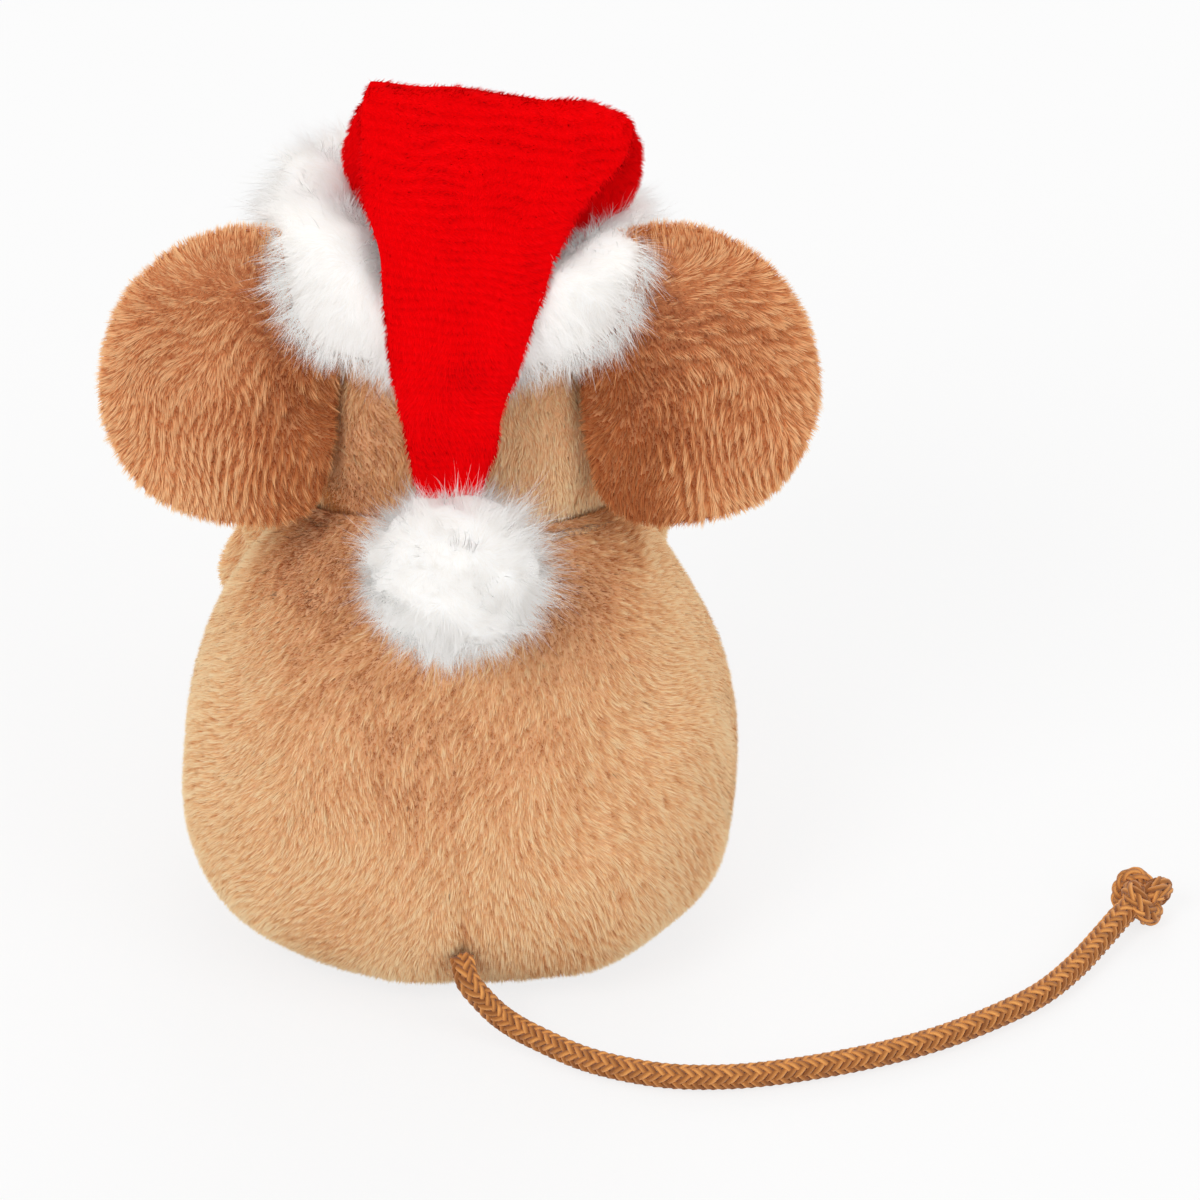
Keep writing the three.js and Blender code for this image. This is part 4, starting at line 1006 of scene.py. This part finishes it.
def grow_limb(name, seed):
    rng = np.random.default_rng(seed)
    root, way, radius, _ = LIMBS[name]

    def keep(p, n):
        sole = (p[:, 2] < 0.7) & (n[:, 2] < -0.5)
        return (body_share(p)[0] > 0.99) & ~sole & ((p - root) @ way > -radius)

    roots, normals = scatter(limbs[name], 15, rng, keep)
    flows = flow_along(way - 0.3 * UP, normals, 20 * waves(roots, 8, 71))
    tufts = streaks(roots, flows, 1.2, 1.2, 72)
    ways = lay(rng, normals, flows, 50 + 8 * tufts, 6, 15, 78)
    lengths = 1.35 * (1 + 0.18 * tufts) * rng.uniform(0.8, 1.1, len(roots))
    lengths = shortened(roots, ways, lengths, [body_tree])
    tints = 0.68 + 0.05 * waves(roots, 6, 73) + 0.12 * tufts + rng.normal(0, 0.08, len(roots))
    strands(f"{name}_pile", tan_pile, name, (roots, normals, ways, lengths, tints), 0.15, rng)


def grow_velour(name, skin, body, seed, keep, obstacles):
    rng = np.random.default_rng(seed)
    roots, normals = scatter(skin, 14, rng, keep)
    rows = np.sin(2 * np.pi * (roots[:, 2] + 0.1 * roots[:, 0]) / WALE + 0.9 * waves(roots, 9, seed + 1))
    wales = np.sin(2 * np.pi * roots[:, 0] / WALE + 0.8 * waves(roots, 10, seed + 2))
    flows = flow_along(np.array([0.25, -0.4, -1.0]), normals, 25 * waves(roots, 14, seed + 3))
    ways = lay(rng, normals, flows, 50 + 8 * rows + 4 * wales, 7, 10, 75)
    lengths = 0.95 * (1 + 0.1 * rows) * rng.uniform(0.8, 1.2, len(roots))
    lengths = shortened(roots, ways, lengths, obstacles)
    tints = (0.62 + 0.3 * rows + 0.06 * wales + 0.1 * waves(roots, 9, seed + 4)
             + rng.normal(0, 0.08, len(roots)))
    blades = (roots, normals, ways, lengths, tints)
    strands(f"{name}_velour", red_pile, body, blades, 0.16, rng, soften=0.85, shadow=False)


def over_ears(points, roots):
    """Fur points that would lie inside an ear move out to its nearer side."""
    points = points.copy()
    for _, root, axes, middle in ears.values():
        local = (points - root) @ axes.T
        start = (roots - root) @ axes.T
        u, w = (local[:, 0] - middle[0]) / 17, (local[:, 2] - middle[1]) / 22.5
        room = 2.6 * np.sqrt(np.clip(1.1 - u ** 2 - w ** 2, 0, 1)) + 0.5
        inside = (u ** 2 + w ** 2 < 1.1) & (np.abs(local[:, 1]) < room)
        local[:, 1] = np.where(inside, np.where(start[:, 1] < 2.5, -room, room), local[:, 1])
        points = local @ axes + root
    return points


def grow_trim():
    rng = np.random.default_rng(109)

    def keep(p, n):
        lower_front = (n[:, 2] < 0.2) & (p[:, 1] > TRIM_CENTRE[1])
        thinned = lower_front | (rng.random(len(p)) < 0.7)
        return thinned & (norms(p - HEAD) > HEAD_RADIUS - 0.8)

    roots, normals = scatter(trim_skin, 12.5, rng, keep)
    rel = roots - TRIM_CENTRE
    outward = unit(rel * [1, 1, 0])
    facing = (normals * outward).sum(axis=1)
    rise = normals[:, 2]
    clumps = three_waves(roots, 7, 81)
    tufts = three_waves(roots, 2.2, 85)
    # Beside the ears the upper fur sweeps outwards over them, and the lower fur stays short
    turn = np.degrees(np.arctan2(np.abs(rel[:, 0]), -rel[:, 1]))
    beside = (bump(turn, 62, 24) * np.clip(rise + 0.3, 0, 1) * np.clip(facing + 0.8, 0, 1)).clip(0, 1)
    under = bump(turn, 62, 20) * np.clip(-rise, 0, 1)
    # At the front the lower fur stands out over the gap between the trim and the head
    fringe = np.clip(-1.4 * rise + 0.3, 0, 1) * np.clip(2 * facing + 0.6, 0, 1) * np.clip(rel[:, 1] / 6, 0, 1)
    flows = (-UP * (np.where(facing > -0.2, 1, -1) * (1 - 1.3 * beside))[:, None] + 0.5 * outward
             + 1.6 * beside[:, None] * np.sign(rel[:, :1]) * [1, -0.3, 0])
    flows = flow_along(flows + 0.45 * clumps + 0.25 * tufts, normals)
    wisp = rng.random(len(roots)) < 0.4
    ways = lay(rng, normals, flows, np.where(wisp, 34, 66) + 7 * tufts[:, 0] - 26 * fringe, 9, 5, 80)
    longer = 2.8 + 2.8 * rng.random(len(roots)) ** 2
    lengths = np.where(wisp, longer, 4.6 * rng.uniform(0.7, 1.1, len(roots)))
    lengths *= (1 + 0.1 * tufts[:, 1]) * (1 + 0.25 * beside - 0.3 * under + 0.2 * fringe)
    lengths *= np.where(facing < -0.2, 0.9, 1)
    lengths = shortened(roots, ways, lengths, [flap_tree, head_tree, crown_tree])
    bend = (-0.2 - 0.3 * fringe)[:, None] * UP + 0.1 * tufts + rng.normal(0, 0.08, roots.shape)
    facings = unit(normals + fringe[:, None] * (1.6 * outward + 0.5 * UP))
    tints = 0.8 + 0.1 * clumps[:, 0] + 0.12 * tufts[:, 0] + rng.normal(0, 0.12, len(roots))
    for part, chosen in (("rear", rel[:, 1] < 0), ("front", rel[:, 1] >= 0)):
        blades = [values[chosen] for values in (roots, facings, ways, lengths, tints, bend)]
        strands(f"hat_trim_fur_{part}", white_fur, "head", blades, 0.07, rng, steps=4,
                shift=over_ears, twist=0.3, soften=0.75, shadow=False)


def grow_pompom():
    rng = np.random.default_rng(110)
    roots, normals = scatter(pompom_skin, 14, rng)
    clumps = three_waves(roots, 7, 91)
    tufts = three_waves(roots, 2.0, 95)
    flows = flow_along(-0.5 * UP + 0.8 * clumps + 0.3 * tufts, normals)
    wisp = rng.random(len(roots)) < 0.55
    ways = lay(rng, normals, flows, np.where(wisp, 30, 66) + 7 * tufts[:, 0], 10, 0, 80)
    longer = 2.2 + 3.2 * rng.random(len(roots)) ** 2
    lengths = np.where(wisp, longer, 3.4 * rng.uniform(0.7, 1.15, len(roots))) * (1 + 0.1 * tufts[:, 1])
    side = (roots - POMPOM) / 10
    lengths *= 1 + 0.5 * wisp * np.clip(side[:, 0] + side[:, 2] - 0.3, 0, 1)
    lengths *= 1 - 0.5 * bump(norms(roots - FLAP_TIP), 0, 6)
    lengths = shortened(roots, ways, lengths, [body_tree, head_tree])
    bend = -0.08 * UP + 0.12 * tufts + rng.normal(0, 0.08, roots.shape)
    tints = 0.75 + 0.1 * clumps[:, 0] + 0.1 * tufts[:, 0] + rng.normal(0, 0.1, len(roots))
    strands("hat_pompom_fur", white_fur, "pompom", (roots, normals, ways, lengths, tints, bend),
            0.055, rng, steps=3, twist=0.3, soften=0.75, shadow=False)


grow_body()
grow_head()
for label in ears:
    grow_ear(label)
for number, limb_name in enumerate(LIMBS):
    grow_limb(limb_name, 120 + number)
grow_velour("hat_crown", crown_skin, "head", 140,
            lambda p, n: (norms(p - HEAD) > HEAD_RADIUS) & (p[:, 2] > RIM[2] + 1.0), [flap_tree])
grow_velour("hat_flap", flap_skin, "hat_flap", 150, None, [])
grow_trim()
grow_pompom()


# Face: glossy beads and tapering whiskers

# Profile of a bead, in radii
BEAD_LINE = np.array([(-0.3, 0), (-0.3, 0.8), (0.05, 0.98), (0.3, 1),
                      (0.56, 0.93), (0.8, 0.74), (0.94, 0.45), (1, 0)])
EYE_RADIUS, NOSE_RADIUS = 3.2, 3.6
EYE_TO_SNOUT = 1.45
WHISKER_LENGTH = 19.3


def bead(name, surface, outward, radius, replaced):
    profile = rounded(BEAD_LINE * radius, 60, 0.25 * radius / 3)
    skin = skin_of(lathe(surface + 0.3 * outward, outward, profile, 48))
    piece(name, skin, bead_black, "head", [replaced])


def whiskers(side_sign, label):
    turn_out = math.radians(37)
    outward = side_sign * math.cos(turn_out) * ACROSS + SNOUT_WAY * math.sin(turn_out)
    surface = (HEAD + SNOUT_WAY * (HEAD_RADIUS + 0.5 * SNOUT_LENGTH)
               + side_sign * 0.69 * SNOUT_LENGTH * ACROSS + outward * 0.3)
    t = np.linspace(0, 1, 24)
    threads = []
    for share in (-0.4, 0.1, 0.6):
        rise = math.radians(share * 40)
        way = unit([side_sign * math.cos(rise), math.tan(math.radians(7)), math.sin(rise)])
        path = surface + outward * 0.2 + np.outer(t * WHISKER_LENGTH, way) - np.outer(1.1 * t ** 2, UP)
        thick = 0.34 * (1 - 0.7 * t)
        threads.append(skin_of(path[:, None] + thick[:, None, None] * circle(8, *carried_frames(path))))
    threads.append(skin_of(surface + ball_rings * 0.85))
    piece(f"whisker_threads_{label}", joined(threads), whisker_thread, "head",
          [f"whiskers_{label}"])


eye_spread = math.asin(SNOUT_LENGTH / HEAD_RADIUS) + (EYE_RADIUS + EYE_TO_SNOUT) / HEAD_RADIUS
eye_lift = math.radians(41)
for side_sign, label in SIDES:
    aside = side_sign * math.cos(eye_lift) * ACROSS + SNOUT_UP * math.sin(eye_lift)
    way = SNOUT_WAY * math.cos(eye_spread) + aside * math.sin(eye_spread)
    bead(f"eye_bead_{label}", HEAD + way * HEAD_RADIUS, way, EYE_RADIUS, f"eye_{label}")
bead("nose_bead", HEAD + SNOUT_WAY * (HEAD_RADIUS + SNOUT_LENGTH), SNOUT_WAY, NOSE_RADIUS, "nose")
for side_sign, label in SIDES:
    whiskers(side_sign, label)


# The ladder stitch round the neck: a twisted thread drawn tight in the crease

STITCH_RADIUS = 22.4
STITCHES, TWISTS = 36, 60
stitch_centre = HEAD - NECK_WAY * math.sqrt((HEAD_RADIUS + 3 * GAP) ** 2 - STITCH_RADIUS ** 2)
stitch_path = (stitch_centre + STITCH_RADIUS * circle(720, ACROSS, np.cross(NECK_WAY, ACROSS))
               + np.outer(0.12 * np.sin(STITCHES * turns(720)), NECK_WAY))
stitch_skin, stitch_uv = plaited(stitch_path, 0.5, 2, 2 * np.pi * STITCH_RADIUS / TWISTS, closed=True)
piece("neck_stitch_thread", stitch_skin, sewing_thread, "neck", ["neck_stitch"], uv=stitch_uv)


# Hard pieces that keep their solids

anchor_cord = cloth_look("anchor_cord", (120, 74, 34), (178, 116, 60), 1500.0, depth=0.5)
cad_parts["tail_anchor_knot"].material_slots[0].material = anchor_cord
for node in ("squeaker_bulb", "squeaker_reed", "nose_washer", "eye_left_washer", "eye_right_washer"):
    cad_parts[node].material_slots[0].material = squeaker_plastic


# Floor, background and lights

def over_background(tree, lit, kind, share):
    """Mixes even light into a lit shader, for rays from the camera, in a reflection or through a piece."""
    rays = add(tree, "LightPath").outputs
    seen = rays["Is Camera Ray"]
    for other in ("Is Glossy Ray", "Is Transmission Ray"):
        seen = add(tree, "Math", seen, rays[other], operation="MAXIMUM").outputs[0]
    seen = add(tree, "Math", seen, share, operation="MULTIPLY").outputs[0]
    even = add(tree, kind, Strength=1.0)
    return add(tree, "MixShader", seen, lit.outputs[0], even.outputs[0]).outputs["Shader"]


floor_mesh = bpy.data.meshes.new("floor")
floor_mesh.from_pydata([(-6, -6, 0), (6, -6, 0), (6, 6, 0), (-6, 6, 0)], [], [(0, 1, 2, 3)])
floor = bpy.data.objects.new("floor", floor_mesh)
# A little lower than the seat, so that the two don't share a plane
floor.location = (0, 0, -0.0003)
bpy.context.scene.collection.objects.link(floor)
floor_white, tree, shader = new_material("floor_white", Roughness=0.9, Specular_IOR_Level=0.1,
                                         Base_Color=(0.86, 0.86, 0.86, 1))
put(tree.nodes["Material Output"].inputs["Surface"], over_background(tree, shader, "Emission", 0.8))
floor_mesh.materials.append(floor_white)

world = bpy.data.worlds.new("studio")
bpy.context.scene.world = world
world.use_nodes = True
tree = world.node_tree
soft = wire(tree.nodes["Background"], Color=(1, 1, 1, 1), Strength=0.62)
put(tree.nodes["World Output"].inputs["Surface"], over_background(tree, soft, "Background", 1.0))


def lamp(name, location, size, power):
    data = bpy.data.lights.new(name, "AREA")
    data.shape = "DISK"
    data.size = size
    data.energy = power
    made = bpy.data.objects.new(name, data)
    made.location = location
    made.rotation_euler = (Vector((0, 0, 0.05)) - made.location).to_track_quat("-Z", "Y").to_euler()
    bpy.context.scene.collection.objects.link(made)


lamp("key", (-0.7, -0.9, 1.1), 0.7, 7.5)
lamp("fill", (0.9, -0.7, 0.8), 0.9, 3.5)
lamp("rear", (0.2, 1.1, 0.9), 0.9, 4.0)

bpy.context.scene.view_settings.view_transform = "Standard"
